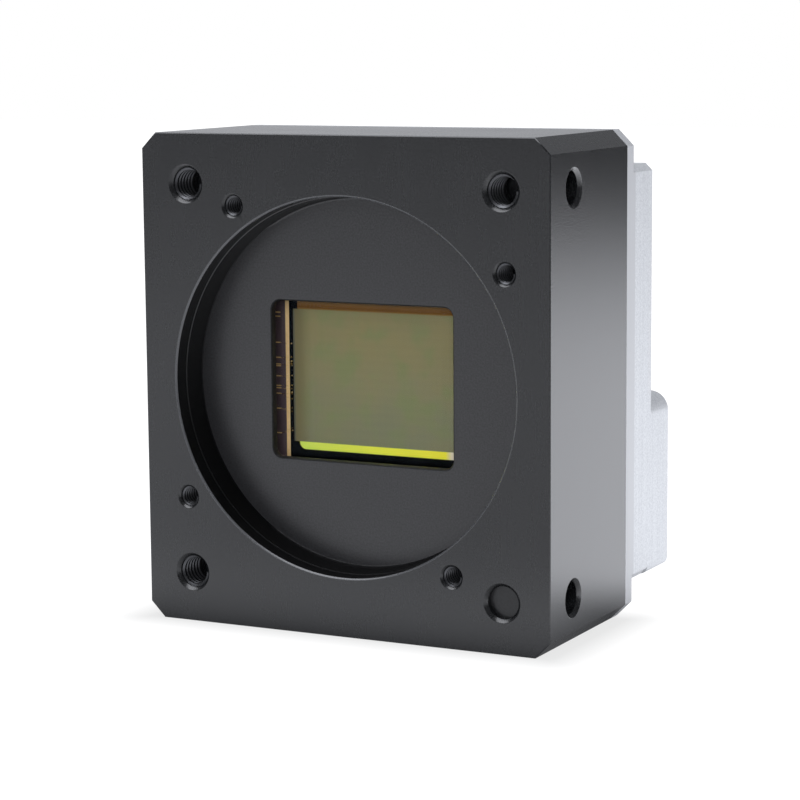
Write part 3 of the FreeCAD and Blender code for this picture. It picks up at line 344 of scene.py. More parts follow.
TRACK_PITCH = 1.0 * MM
tree, board, place = grained("solder_masked_circuit_board", "123a22", "194a2c", 0.4, (0.3, 0.45),
                             0.01, IOR=1.55)
tracks = add(tree, "TexBrick", {"Vector": place, "Scale": 1 / (8 * TRACK_PITCH),
                                "Mortar Size": 0.03, "Mortar": "2a6a40",
                                "Color1": "123a22", "Color2": "174428"})
feed(tree, board, {"Base Color": tracks})
print("clear finishes and board mixed")

# %% [markdown]
# ## The colour filter on the pixels
# A colour filter of red, green and blue dots, each 3.5 micrometres wide, covers the pixels. Nobody
# sees the dots, only their mix: an olive that turns browner at the top and greener at the foot. The
# rim of the filter is thinner and darker. Under lamps a filter also shows a faint moiré, drawn here
# as two crossed waves of about 1 mm, and its dye makes blotches a few millimetres wide. The strips
# above and below the image area belong to test rows. The upper one is brown. The lower one is
# painted bright yellow-green, a painted reflection of the lit window on top of its own colour.

# %% The colour filter
def along(tree, place, axis, low, high, start=0.0, stop=1.0, smooth=True):
    """Go from one value to another between two places, in millimetres, along X, Y or Z."""
    parts = add(tree, "SeparateXYZ", {"Vector": place})
    return add(tree, "MapRange", {"Value": parts.outputs[axis], "From Min": low * MM,
                                  "From Max": high * MM, "To Min": start, "To Max": stop},
               interpolation_type="SMOOTHSTEP" if smooth else "LINEAR")


tree, film, place = grained("dyed_filter_film", "76704d", "7c7655", 2.5, (0.45, 0.6), 0.001,
                            IOR=1.35)
patches = add(tree, "TexNoise", {"Vector": place, "Scale": 1 / (5 * MM), "Detail": 2.0})
height = along(tree, place, "Z", -8.3, 8.6)
drift = add(tree, "Mix", {0: 0.55, 2: patches, 3: height})
olive = add(tree, "ValToRGB", {"Fac": drift},
            stops=[(0.1, "6f7159"), (0.45, "7a7556"), (0.6, "7c7553"), (0.9, "817751")])
stain = add(tree, "TexNoise", {"Vector": place, "Scale": 1 / (3.5 * MM), "Detail": 2.0})
blotches = add(tree, "MapRange", {"Value": stain, "From Min": 0.48, "From Max": 0.66,
                                  "To Max": 0.6})
olive = add(tree, "Mix RGBA", {0: blotches, 6: olive, 7: "6e794e"})
for axis, bands in (("X", 0.9), ("Z", 1.1)):
    wave = add(tree, "TexWave", {"Vector": place, "Scale": 0.314 / (bands * MM), "Distortion": 1.5},
               bands_direction=axis)
    faint = add(tree, "MapRange", {"Value": wave.outputs["Fac"], "To Max": 0.035})
    olive = add(tree, "Mix RGBA", {0: faint, 6: olive, 7: "a0a060"})
for low, high, shade in ((-10.9, -8.3, "686140"), (-11.15, -11.0, "4d4c3c")):
    olive = add(tree, "Mix RGBA", {0: along(tree, place, "X", low, high), 6: shade, 7: olive})
feed(tree, film, {"Base Color": olive})
print("pixel filter:", len(tree.nodes), "nodes")

# %% The test rows
# The lower strip's bright yellow-green, up to its pinkish right end, is a painted reflection of the
# window.
for name, dark, light, size, rough, course, stops in (
        ("lower_filter_strip", "c3d35a", "dcd648", 2.0, (0.4, 0.5), ("X", -10.6, 11.5),
         [(0.0, "cbdf5c"), (0.55, "e6e648"), (0.94, "ece23c"), (0.975, "dccfb6")]),
        ("upper_filter_strip", "4a3618", "5a4424", 1.5, (0.4, 0.55), ("Z", 8.6, 10.0),
         [(0.0, "8d6c34"), (0.18, "6e4a1e"), (0.45, "815a2c"), (0.8, "7a6140")])):
    tree, strip, place = grained(name, dark, light, size, rough, 0.001, IOR=1.2)
    change = add(tree, "ValToRGB", {"Fac": along(tree, place, *course, smooth=False)}, stops=stops)
    feed(tree, strip, {"Base Color": change})
print("filter finishes mixed")

# %% [markdown]
# ## The solids that stay
# Boards, chips and other parts are closed in and keep the shape of their solids. They still get
# their real finish, because the model may be opened or cut.

# %% The solids that stay
STAYING = {
    "open_cell_rubber_foam": "dust_seal",
    "cured_epoxy_glue": "lid_seal",
    "fired_dark_alumina": "sensor_package",
    "electroplated_gold": "sensor_pins",
    "passivated_silicon": "sensor_die",
    "nickel_plated_zinc": "power_nut clock_module",
    "fired_capacitor_ceramic": "power_capacitors",
    "phosphor_epoxy": "status_led",
    "turned_brass": "front_posts rear_posts",
    "solder_masked_circuit_board": "sensor_board processor_board interface_board",
    "moulded_connector_polymer":
        "front_board_plug front_board_socket rear_board_plug rear_board_socket",
    "moulded_chip_epoxy":
        "processor_chip left_memory_chip right_memory_chip link_driver_chips power_coil",
}
for look, nodes in STAYING.items():
    for node in nodes.split():
        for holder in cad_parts[node].material_slots:
            holder.material = bpy.data.materials[look]
print("solids that stay:", sum(len(nodes.split()) for nodes in STAYING.values()))

# %% [markdown]
# ## Modelling by hand, in code
# The next helpers do what a hand does in the viewport: add a block or a circle, select the edges
# that matter, and cut one shape out of another. Every operator acts on what is selected, so each
# helper first selects nothing else.

# %% Selecting
def select_only(*pieces):
    """Select these pieces, if any, and nothing else, and make the first one active."""
    bpy.ops.object.select_all(action="DESELECT")
    for piece in pieces:
        piece.select_set(True)
    if pieces:
        bpy.context.view_layer.objects.active = pieces[0]


def choose(piece, kind, test):
    """Select, in edit mode, the edges (by both ends) or faces (by middle and normal) that pass."""
    select_only(piece)
    bpy.ops.object.mode_set(mode="EDIT")
    bpy.ops.mesh.select_mode(type=kind)
    bpy.ops.mesh.select_all(action="DESELECT")
    bpy.ops.object.mode_set(mode="OBJECT")
    if kind == "EDGE":
        points = [vertex.co / MM for vertex in piece.data.vertices]
        for edge in piece.data.edges:
            edge.select = test(*(points[end] for end in edge.vertices))
    else:
        for face in piece.data.polygons:
            face.select = test(face.center / MM, face.normal)
    bpy.ops.object.mode_set(mode="EDIT")


def leave_edit():
    """Go back to object mode with all faces turned outwards."""
    bpy.ops.mesh.select_all(action="SELECT")
    bpy.ops.mesh.normals_make_consistent(inside=False)
    bpy.ops.object.mode_set(mode="OBJECT")


# %% Blocks, and edges that are cut or rounded
def block(name, low, high):
    """Add a block between its lowest and its highest corner, in millimetres."""
    low, high = Vector(low), Vector(high)
    select_only()
    bpy.ops.mesh.primitive_cube_add(size=1, location=(low + high) / 2 * MM, scale=(high - low) * MM)
    piece = bpy.context.object
    piece.name = name
    bpy.ops.object.transform_apply()
    return piece


def soften(piece, width, test, segments=1):
    """Bevel the chosen edges by a width: one segment cuts them flat, more round them."""
    choose(piece, "EDGE", test)
    count = piece.data.total_edge_sel
    bpy.ops.mesh.bevel(offset=width * MM, offset_type="OFFSET", segments=segments, affect="EDGES")
    leave_edit()
    return count


def same(a, b):
    """Tell whether two lengths in millimetres agree."""
    return abs(a - b) < 0.005


def runs_back(a, b):
    """Tell whether an edge runs from front to back."""
    return same(a.x, b.x) and same(a.z, b.z)


def lies_at(y):
    """Test for the edges that lie at this depth."""
    return lambda a, b: same(a.y, y) and same(b.y, y)


# %% Turned shapes
def turned(name, rings, x=0.0, z=0.0, sides=64, tube=False):
    """Turn a shape about a line along Y. Each ring, a radius and a depth, grows from the last.
    A tube's rings go round its wall, and its last ring is joined to its first."""
    select_only()
    radius, y = rings[0]
    bpy.ops.mesh.primitive_circle_add(
        vertices=sides, radius=radius * MM, fill_type="NOTHING" if tube else "NGON",
        location=(x * MM, y * MM, z * MM), rotation=(math.pi / 2, 0, 0))
    piece = bpy.context.object
    piece.name = name
    bpy.ops.object.transform_apply()
    bpy.ops.object.mode_set(mode="EDIT")
    bpy.ops.mesh.select_mode(type="EDGE")
    bpy.ops.mesh.select_all(action="SELECT")
    for wider, further in rings[1:]:
        growth = {"value": (0, (further - y) * MM, 0)}
        bpy.ops.mesh.extrude_region_move(TRANSFORM_OT_translate=growth)
        bpy.ops.transform.resize(value=(wider / radius, 1, wider / radius),
                                 center_override=(x * MM, further * MM, z * MM))
        radius, y = wider, further
    if tube:
        bpy.ops.mesh.select_all(action="DESELECT")
        bpy.ops.mesh.select_non_manifold()
        bpy.ops.mesh.bridge_edge_loops()
    leave_edit()
    return piece


def discard(*pieces):
    """Remove pieces that have done their work."""
    for piece in pieces:
        bpy.data.objects.remove(piece, do_unlink=True)


def carve(piece, tool, how="DIFFERENCE"):
    """Cut a tool out of a piece, or unite the two, and remove the tool."""
    select_only(piece)
    change = piece.modifiers.new(how.lower(), "BOOLEAN")
    change.operation, change.solver, change.object = how, "EXACT", tool
    bpy.ops.object.modifier_apply(modifier=change.name)
    discard(tool)


def merge(name, pieces):
    """Join several pieces into one object without cutting them."""
    select_only(*pieces)
    if len(pieces) > 1:
        bpy.ops.object.join()
    bpy.context.object.name = name
    return bpy.context.object


# %% [markdown]
# ## Threads
# A tapped hole is a spiral groove. A small hexagon is wound up the hole by the Screw modifier, one
# turn for each thread pitch. Its outer half is sunk in the metal. Its inner half is the ridge that
# one sees, with flanks at 60 degrees and a flat crest, as on a real thread. Both ends are filled,
# so that the ridge is a closed shell. The threads of the front block are cut after the anodising,
# so they show grey metal.

# %% Threads
def thread(name, radius, pitch, start, end):
    """Wind a ridge along Y, from one depth to the other, inside a hole of this radius."""
    half = 0.43 * pitch
    select_only()
    bpy.ops.mesh.primitive_circle_add(vertices=6, radius=half * MM, fill_type="NOTHING",
                                      location=(radius * MM, 0, 0), rotation=(math.pi / 2, 0, 0))
    ridge = bpy.context.object
    ridge.name = name
    bpy.ops.object.transform_apply()
    winding = ridge.modifiers.new("winding", "SCREW")
    winding.axis, winding.screw_offset = "Z", pitch * MM
    winding.iterations = max(1, round((abs(end - start) - 2 * half) / pitch))
    winding.steps = winding.render_steps = 24
    bpy.ops.object.modifier_apply(modifier="winding")
    bpy.ops.object.mode_set(mode="EDIT")
    bpy.ops.mesh.select_mode(type="EDGE")
    bpy.ops.mesh.select_all(action="DESELECT")
    bpy.ops.mesh.select_non_manifold()
    bpy.ops.mesh.edge_face_add()
    leave_edit()
    ridge.rotation_euler = (-math.pi / 2, 0, 0)
    ridge.location = (0, (start + half) * MM, 0)
    bpy.ops.object.transform_apply()
    return ridge


# %% [markdown]
# ## A finished piece
# When a shape is done, its edges get a tiny round, since no real edge is perfectly sharp and the
# thin highlight along it is what makes metal look like metal. Faces that meet at a small angle are
# shaded smooth, and the Weighted Normal modifier keeps the large flat faces flat up to their
# rounded edges. The piece then gets its finish, is tied to the frame and put in place of its solid.

# %% A finished piece
def complete(piece, material, slot, *nodes, edge=0.0, angle=30.0, extras=()):
    """Round the edges, add extra shells, smooth the faces, and give the finish and body. The slot
    is not used.
    """
    name = piece.name
    select_only(piece)
    if edge:
        rounding = piece.modifiers.new("edges", "BEVEL")
        rounding.width, rounding.segments = edge * MM, 2
        rounding.limit_method, rounding.angle_limit = "ANGLE", math.radians(angle)
        rounding.use_clamp_overlap = True
        bpy.ops.object.modifier_apply(modifier="edges")
    piece = merge(name, [piece, *extras])
    bpy.ops.object.shade_smooth_by_angle(angle=math.radians(angle))
    flat = piece.modifiers.new("flat", "WEIGHTED_NORMAL")
    flat.keep_sharp = True
    bpy.ops.object.modifier_apply(modifier="flat")
    piece.data.materials.clear()
    piece.data.materials.append(bpy.data.materials[material])
    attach(piece, "root")
    if nodes:
        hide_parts(*nodes)
    points = [vertex.co / MM for vertex in piece.data.vertices]
    low, high = ([round(pick(point[axis] for point in points), 2) for axis in range(3)]
                 for pick in (min, max))
    print(piece.name, "runs from", low, "to", high, "with", len(piece.data.polygons), "faces")


# %% [markdown]
# ## The front block
# On the mill the block starts as a bar, and so it does here: a block, with its four long corners
# cut flat and the edge round its front face broken. Then the tools go in. The lens recess is one
# turned shape with a bevelled mouth and a small step. The window, the sensor's pocket and the board
# space are blocks with rounded corners.

# %% The block and its hollows
def rounded_block(name, low, high, radius, segments=8):
    """Add a block whose edges along Y are round."""
    piece = block(name, low, high)
    soften(piece, radius, runs_back, segments)
    return piece


front = block("milled_front_block", (-HALF_WIDTH, 0, -HALF_HEIGHT),
              (HALF_WIDTH, BLOCK_BACK, HALF_HEIGHT))
print("corners cut:", soften(front, 2.0, runs_back))
print("front edges broken:", soften(front, 0.12, lies_at(0.0)))
carve(front, turned("recess", [
    (RECESS_RADIUS + 1.2, -1.0), (RECESS_RADIUS, 0.2), (RECESS_RADIUS, RECESS_STEP - 0.05),
    (23.36, RECESS_STEP), (23.2, 4.9), (23.15, RECESS_DEPTH)], sides=160))
carve(front, rounded_block("window", (-12.7, 5.0, -9.98), (12.55, 7.0, 9.93), 1.2))
carve(front, block("sensor_pocket", (-18.2, 6.5, -16.2), (18.2, 10.0, 16.2)))
carve(front, rounded_block("board_space", (-25.4, 9.5, -26.4), (25.4, 25.0, 26.4), 3.0))
for x in (-21.45, 21.45):
    for z in (-21.4, 21.4):
        carve(front, block("pad", (x - 2.5, 9.3, z - 2.5), (x + 2.5, 12.0, z + 2.5)), "UNION")
print("window edges bevelled:", soften(
    front, 0.3, lambda a, b: lies_at(RECESS_DEPTH)(a, b) and max(abs(a.x), abs(b.x)) < 13, 2))

# %% [markdown]
# ## The tapped holes
# Four M4 holes sit near the corners for a lens plate, four M2.5 holes round the recess for an
# adapter, and two M4 holes in the right side for a bracket. Each is drilled with a turned tool
# whose wide mouth leaves the countersink. The lower right front hole looks smooth and shallow in
# the photo, as if closed by a plug, so it is only 1.2 mm deep here and has no thread. The pitch of
# the small threads is drawn at 0.55 mm instead of 0.45 mm, so that they show.

# %% Copies
def copied(piece, shift, name="copy"):
    """Copy a piece with its own mesh and move the mesh by millimetres."""
    twin = piece.copy()
    twin.name = name
    twin.data = piece.data.copy()
    twin.data.transform(Matrix.Translation(Vector(shift) * MM))
    bpy.context.collection.objects.link(twin)
    return twin


# %% The tapped holes
M4_HOLE, M4_SINK, M4_PITCH = 2.0, 2.45, 0.7
M25_HOLE, M25_SINK, M25_PITCH = 1.25, 1.55, 0.55
SMALL_CIRCLE = 26.65
SMALL_ANGLES = [math.radians(34.1 + 90 * count) for count in range(4)]


def drill(radius, sink, depth, x, z):
    """A turned tool for a countersunk hole from the front face."""
    rings = [(sink + 1.0, -1.0), (radius, sink - radius), (radius, depth)]
    return turned("drill", rings, x, z, sides=48)


large_ridge = thread("large_ridge", M4_HOLE, M4_PITCH, 0.4, 5.4)
small_ridge = thread("small_ridge", M25_HOLE, M25_PITCH, 0.3, 4.9)
ridges = []
for x in (-LARGE_X, LARGE_X):
    for z in (-LARGE_Z, LARGE_Z):
        plugged = x > 0 and z < 0
        carve(front, drill(M4_HOLE, M4_SINK, 1.2 if plugged else 5.5, x, z))
        if not plugged:
            ridges.append(copied(large_ridge, (x, 0, z)))
for angle in SMALL_ANGLES:
    x, z = SMALL_CIRCLE * math.cos(angle), SMALL_CIRCLE * math.sin(angle)
    carve(front, drill(M25_HOLE, M25_SINK, 5.0, x, z))
    ridges.append(copied(small_ridge, (x, 0, z)))
for z in (-24.8, 24.8):
    tool, ridge = drill(M4_HOLE, M4_SINK, 3.5, 0, 0), thread("ridge", M4_HOLE, M4_PITCH, 2.05, 3.45)
    for piece in (tool, ridge):
        select_only(piece)
        piece.rotation_euler = (0, 0, math.pi / 2)
        piece.location = Vector((HALF_WIDTH, 6.9, z)) * MM
        bpy.ops.object.transform_apply()
    carve(front, tool)
    ridges.append(ridge)
for x, z in SCREW_PLACES:
    carve(front, turned("screw_hole", [(1.0, 18.2), (1.0, 25.0)], x, z, sides=24))
discard(large_ridge, small_ridge)
print("threads:", len(ridges))
complete(front, "blasted_black_anodised_aluminium", "black_anodised_aluminium", "front_housing",
         edge=0.06, angle=32)
complete(merge("cut_threads", ridges), "tapped_aluminium", "black_anodised_aluminium")

# %% [markdown]
# ## The rear cover
# The cover is milled from one bar in steps: a rim as large as the block, a first step, and a second
# step that holds the link sockets. The steps are added on top of each other and united, the outer
# back edges are rounded, and then the inside and the cut-outs for the sockets are carved.

# %% The rear cover
SOCKET_X = 12.275
SOCKET_Z = -15.0
SIDES = ((-1, "left"), (1, "right"))
JACK_HALF = 9.3
SERVICE_X, SERVICE_Z = 14.0, 11.5
FOOT = -26.5

cover = block("stepped_rear_cover", (-HALF_WIDTH, BLOCK_BACK, -HALF_HEIGHT),
              (HALF_WIDTH, RIM_BACK, HALF_HEIGHT))
soften(cover, 2.0, runs_back)
soften(cover, 0.6, lies_at(RIM_BACK), 4)
first = block("first_step", (-HALF_WIDTH, 25.0, FOOT), (HALF_WIDTH, FIRST_BACK, -FOOT))
soften(first, 0.9, runs_back)
soften(first, 0.25, lies_at(FIRST_BACK), 3)
carve(cover, first, "UNION")
second = block("second_step", (-HALF_WIDTH, 31.0, FOOT), (HALF_WIDTH, SECOND_BACK, -3.5))
soften(second, 1.0, lambda a, b: runs_back(a, b) and a.z < -20, 6)
soften(second, 2.5, lambda a, b: runs_back(a, b) and a.z > -4, 10)
soften(second, 0.25, lies_at(SECOND_BACK), 3)
carve(cover, second, "UNION")
carve(cover, rounded_block("lip", (-25.35, 22.1, -26.35), (25.35, 24.0, 26.35), 2.95), "UNION")
carve(cover, rounded_block("inside", (-24.55, 20.0, -24.5), (24.55, 30.2, 24.5), 2.0))
carve(cover, rounded_block("deep_inside", (-24.55, 29.0, -24.5), (24.55, 36.3, -5.5), 2.0))
for x, z in SCREW_PLACES:
    carve(cover, turned("screw_hole", [(1.15, 20.0), (1.15, 28.0)], x, z, sides=32))
for x in (-SOCKET_X, SOCKET_X):
    carve(cover, rounded_block("mouth", (x - 6.75, 35.0, SOCKET_Z - 3.0),
                               (x + 6.75, 40.0, SOCKET_Z + 3.0), 1.4))
    for jack in (x - JACK_HALF, x + JACK_HALF):
        carve(cover, turned("jack_hole", [(1.65, 35.0), (1.65, 40.0)], jack, SOCKET_Z, sides=32))
carve(cover, turned("power_hole", [(4.6, 29.0), (4.6, 34.0)], SERVICE_X, SERVICE_Z, sides=64))
carve(cover, turned("light_hole", [(1.5, 29.0), (1.5, 34.0)], -SERVICE_X, SERVICE_Z, sides=32))
complete(cover, "satin_silver_anodised_aluminium", "silver_anodised_aluminium", "rear_housing",
         edge=0.06, angle=32)

# %% [markdown]
# ## Inside the window
# Behind the window the ceramic package shows its shelf with gold fingers. Hair-thin wires run from
# them over the ground ring to pads on the die. Next to the pads starts the colour filter. The photo
# shows where the fingers and pads are on the left, and the right side mirrors them.

# %% The filter and its strips
filter_layer = block("filter_layer", (-11.3, 8.72, -8.33), (11.4, 8.75, 8.62))
choose(filter_layer, "FACE", lambda middle, normal: normal.y < -0.9)
bpy.ops.mesh.inset(thickness=0.15 * MM, depth=-0.006 * MM)
leave_edit()
complete(filter_layer, "dyed_filter_film", "pixel_film", "pixel_array")
# This band carries the painted reflection of the window, and its rounded lower left corner follows
# the window's corner.
lower_strip = block("lower_filter_strip", (-10.5, 8.715, -9.28), (11.5, 8.75, -8.33))
soften(lower_strip, 0.9, lambda a, b: runs_back(a, b) and a.x < 0 and a.z < -9, 8)
complete(lower_strip, "lower_filter_strip", "pixel_film", edge=0.008)
upper_strip = block("upper_filter_strip", (-10.65, 8.715, 8.62), (11.5, 8.75, 10.3))
soften(upper_strip, 0.15, runs_back, 3)
complete(upper_strip, "upper_filter_strip", "pixel_film", edge=0.008)

# %% Ground ring
ring = rounded_block("fired_ground_ring", (-12.4, 8.7, -11.4), (12.4, 8.8, 11.4), 0.3, 4)
carve(ring, rounded_block("ring_inside", (-11.88, 8.6, -10.8), (11.88, 8.9, 10.8), 0.2, 4))
complete(ring, "fired_gold_paste", "gold_plating", "ground_ring", edge=0.02)

# %% Cover glass
glass = rounded_block("bevelled_cover_glass", (-15.5, 6.9, -13.5), (15.5, 7.6, 13.5), 0.4, 3)
complete(glass, "coated_cover_glass", "cover_glass", "sensor_lid", edge=0.1)

# %% Fingers, pads and wires
FINGER_HEIGHTS = [8.07, 7.55, 4.21, 2.28, 1.43, 1.21, -0.08, -1.33, -1.62, -2.33, -4.26, -7.42]
PAD_HEIGHTS = [4.15, 2.43, 1.90, 1.58, 1.36, 0.07, -1.21, -1.64, -2.08, -2.28, -2.93, -4.11, -4.54,
               -6.69, -7.01]
PAD_X = 11.58
SHELF_FRONT, DIE_FRONT = 8.76, 8.72
HALF_PAD = 0.07


def small_plate(name, low, high, round_by):
    """A thin plate with a rounded outline and a broken front edge."""
    piece = rounded_block(name, low, high, round_by, 3)
    soften(piece, 0.008, lies_at(low[1]))
    return piece


finger = small_plate("finger", (-0.4, SHELF_FRONT, -HALF_PAD), (0.4, 8.8, HALF_PAD), 0.05)
pad = small_plate("pad", (-HALF_PAD, DIE_FRONT, -HALF_PAD), (HALF_PAD, 8.75, HALF_PAD), 0.02)
fingers, pads, wires = [], [], []
for side in (-1, 1):
    fingers += [copied(finger, (side * 13.55, 0, z)) for z in FINGER_HEIGHTS]
    x = side * PAD_X
    for z in PAD_HEIGHTS:
        pads.append(copied(pad, (x, 0, z)))
        nearest = min(FINGER_HEIGHTS, key=lambda height: abs(height - z))
        select_only()
        bpy.ops.curve.primitive_bezier_curve_add(radius=1)
        wire = bpy.context.object
        start, end = wire.data.splines[0].bezier_points
        start.co = Vector((x, DIE_FRONT, z)) * MM
        end.co = Vector((side * 13.3, SHELF_FRONT, nearest)) * MM
        for point in (start, end):
            point.handle_left_type = point.handle_right_type = "FREE"
        start.handle_right = Vector((side * 11.9, 8.35, z)) * MM
        end.handle_left = Vector((side * 12.6, 8.35, nearest)) * MM
        start.handle_left, end.handle_right = start.co, end.co
        wire.data.bevel_depth = 0.0125 * MM
        wire.data.bevel_resolution, wire.data.resolution_u = 1, 8
        wire.data.use_fill_caps = True
        bpy.ops.object.convert(target="MESH")
        bpy.ops.object.transform_apply()
        wires.append(bpy.context.object)
discard(finger, pad)
complete(merge("shelf_fingers", fingers), "fired_gold_paste", "gold_plating", "bond_fingers")
complete(merge("die_pads", pads), "electroplated_gold", "gold_plating")
complete(merge("bond_wires", wires), "electroplated_gold", "gold_plating")

# %% [markdown]
# ## The link sockets
# Each link socket is a ribbon connector with 26 contacts. A die cast shell has a flange with two
# ears, and a shroud with rounded ends and two latch windows. The insulator fills it and reaches out
# as a tongue. Thirteen flat contacts lie on each side of the tongue, and low ribs keep them apart.

# %% Shells
PITCH = 0.8
shell = rounded_block("shell", (-11.5, 35.3, -3.5), (11.5, 36.3, 3.5), 0.8, 6)
carve(shell, rounded_block("shroud", (-6.6, 36.0, -2.8), (6.6, 39.0, 2.8), 1.2, 8), "UNION")
soften(shell, 0.12, lies_at(39.0), 3)
carve(shell, rounded_block("opening", (-6.2, 35.0, -2.4), (6.2, 40.0, 2.4), 0.8, 8))
for ear in (-JACK_HALF, JACK_HALF):
    carve(shell, turned("ear_hole", [(1.5, 35.0), (1.5, 36.1), (1.8, 36.4)], ear, 0, sides=32))
for x in (-3.6, 3.6):
    latch = block("latch_window", (x - 0.7, 36.9, -5), (x + 0.7, 38.1, 5))
    soften(latch, 0.2, lambda a, b: same(a.x, b.x) and same(a.y, b.y), 3)
    carve(shell, latch)
for side, word in SIDES:
    part = copied(shell, (side * SOCKET_X, 0, SOCKET_Z), word + "_cast_shell")
    complete(part, "nickel_plated_zinc", "nickel_plating", word + "_link_shell", edge=0.05)
discard(shell)

# %% Insulators and their contacts
insulator = rounded_block("insulator", (-7.1, 26.8, -3.3), (7.1, 35.3, 3.3), 0.6, 4)
tongue = block("tongue", (-5.45, 35.0, -0.8), (5.45, 38.4, 0.8))
soften(tongue, 0.3, runs_back, 4)
soften(tongue, 0.25, lies_at(38.4))
carve(insulator, tongue, "UNION")
ribs = [block("rib", (x * PITCH - 0.11, 35.1, -0.98), (x * PITCH + 0.11, 38.15, 0.98))
        for x in (half / 2 for half in range(-13, 14, 2)) if abs(x * PITCH) < 5.3]
carve(insulator, merge("ribs", ribs), "UNION")
contact = block("contact", (-0.2, 35.65, 0.8), (0.2, 38.25, 0.95))
soften(contact, 0.1, lies_at(38.25), 3)
soften(contact, 0.05, lambda a, b: same(a.x, b.x) and same(a.z, 0.95) and same(b.z, 0.95), 2)
under = copied(contact, (0, 0, 0))
under.data.transform(Matrix.Scale(-1, 4, (0, 0, 1)))
under.data.flip_normals()
pair = merge("contact_pair", [contact, under])
for side, word in SIDES:
    part = copied(insulator, (side * SOCKET_X, 0, SOCKET_Z), word + "_ribbed_insulator")
    complete(part, "moulded_connector_polymer", "connector_plastic", word + "_link_insulator",
             edge=0.04)
    row = [copied(pair, (side * SOCKET_X + (count - 6) * PITCH, 0, SOCKET_Z))
           for count in range(13)]
    complete(merge(word + "_flat_contacts", row), "electroplated_gold", "gold_plating",
             word + "_link_contacts", edge=0.015)
discard(insulator, pair)

# %% [markdown]
# ## Jack screws and closing screws
# A plug is held by two thumb screws, which go into hexagonal jack screws beside the socket. Their
# outer end is turned to a cone, so the flats end in arcs, as on any nut. The cover is closed by
# four small screws with a ribbed head and a hexagonal key.

# %% Jack screws
HEX_CORNER = 4.5 / math.sqrt(3)
jack = turned("jack", [(HEX_CORNER, 38.3), (HEX_CORNER, 41.0)], sides=6)
carve(jack, turned("cone", [(3.2, 38.0), (3.2, 40.55), (1.9, 41.3)], sides=48), "INTERSECT")
carve(jack, turned("stud", [(1.2, 34.3), (1.45, 34.55), (1.45, 38.6)], sides=32), "UNION")
carve(jack, turned("bore", [(1.0, 38.8), (1.0, 40.75), (1.35, 41.1)], sides=32))
ridge = thread("ridge", 1.0, 0.45, 38.85, 40.8)
places = [(side * SOCKET_X + ear * JACK_HALF, 0, SOCKET_Z) for side in (-1, 1) for ear in (-1, 1)]
jacks = merge("threaded_jack_screws", [copied(jack, place) for place in places])
complete(jacks, "nickel_plated_zinc", "nickel_plating", "jack_screws", edge=0.05,
         extras=[copied(ridge, place) for place in places])
discard(jack, ridge)

# %% Closing screws
screw = turned("screw", [(0.8, 19.2), (0.95, 19.4), (0.95, RIM_BACK), (1.9, RIM_BACK), (1.9, 27.35),
                         (1.65, 27.6)], sides=60)
choose(screw, "FACE", lambda middle, normal: 26.3 < middle.y < 27.3 and abs(normal.y) < 0.1)
bpy.ops.mesh.inset(thickness=0.03 * MM, depth=-0.05 * MM, use_individual=True)
leave_edit()
carve(screw, turned("key", [(0.85, 26.8), (0.85, 28.0)], sides=6))
carve(screw, turned("key_mouth", [(0.7, 27.35), (1.1, 27.75)], sides=32))
screws = merge("socket_head_screws", [copied(screw, (x, 0, z)) for x, z in SCREW_PLACES])
complete(screws, "cold_headed_stainless_steel", "stainless_steel", "closing_screws")
discard(screw)

# %% [markdown]
# ## Power socket and status light
# The power socket is a round push-pull socket. Its shell is turned in one piece, with a flange, a
# groove where the plug's claws catch, and a key slot inside that turns the plug the right way. Six
# round pins stand in a plastic insert. The status light is a clear rod with a domed end that leads
# the light of a small diode to the back.

# %% Power socket
socket_shell = turned("keyed_power_shell", [
    (4.3, 27.8), (4.5, 28.0), (4.5, FIRST_BACK), (5.55, FIRST_BACK), (5.7, 32.35), (5.7, 33.2),
    (5.5, 33.4), (4.2, 33.4), (4.2, 34.3), (4.0, 34.45), (4.0, 34.85), (4.2, 35.0), (4.2, 35.75),
    (4.05, 35.9), (3.55, 35.9), (3.4, 35.7), (3.4, 27.8)],
    SERVICE_X, SERVICE_Z, sides=72, tube=True)
carve(socket_shell, block("key_slot", (SERVICE_X - 0.5, 29.7, SERVICE_Z + 3.0),
                          (SERVICE_X + 0.5, 37.0, SERVICE_Z + 3.75)))
complete(socket_shell, "nickel_plated_zinc", "nickel_plating", "power_shell", edge=0.04)
insert = turned("pin_insert", [(3.2, 26.8), (3.37, 27.0), (3.37, 29.3), (3.2, 29.5)],
                SERVICE_X, SERVICE_Z, sides=48)
pins = []
for count in range(6):
    angle = math.radians(60 * count)
    x, z = SERVICE_X + 1.95 * math.cos(angle), SERVICE_Z + 1.95 * math.sin(angle)
    carve(insert, turned("collar", [(0.4, 29.25), (0.6, 29.7)], x, z, sides=20))
    pins.append(turned("pin", [(0.35, 29.2), (0.35, 34.3), (0.3, 34.5), (0.2, 34.63), (0.08, 34.7)],
                       x, z, sides=20))
complete(insert, "moulded_connector_polymer", "connector_plastic", "power_insert", edge=0.03)
complete(merge("round_pins", pins), "electroplated_gold", "gold_plating", "power_pins")

# %% Status light
light = turned("domed_light_guide", [
    (1.3, 27.7), (1.4, 27.8), (1.4, 32.25), (1.32, 32.45), (1.1, 32.6), (0.7, 32.68), (0.25, 32.7)],
    -SERVICE_X, SERVICE_Z, sides=32)
complete(light, "milky_polycarbonate", "clear_plastic", "status_light")

# %% [markdown]
# ## The studio
# The camera stands on a pale floor in a studio. A photographer lights such a black thing mostly
# with what it mirrors. The room is dim in front, so that the front face stays dark, and bright at
# the back left, which gives the top face its sheen. The floor behind is bright, so the side face
# mirrors it and darkens towards its top and its foot. The camera itself sees white everywhere, and
# the floor keeps the object's shadow.

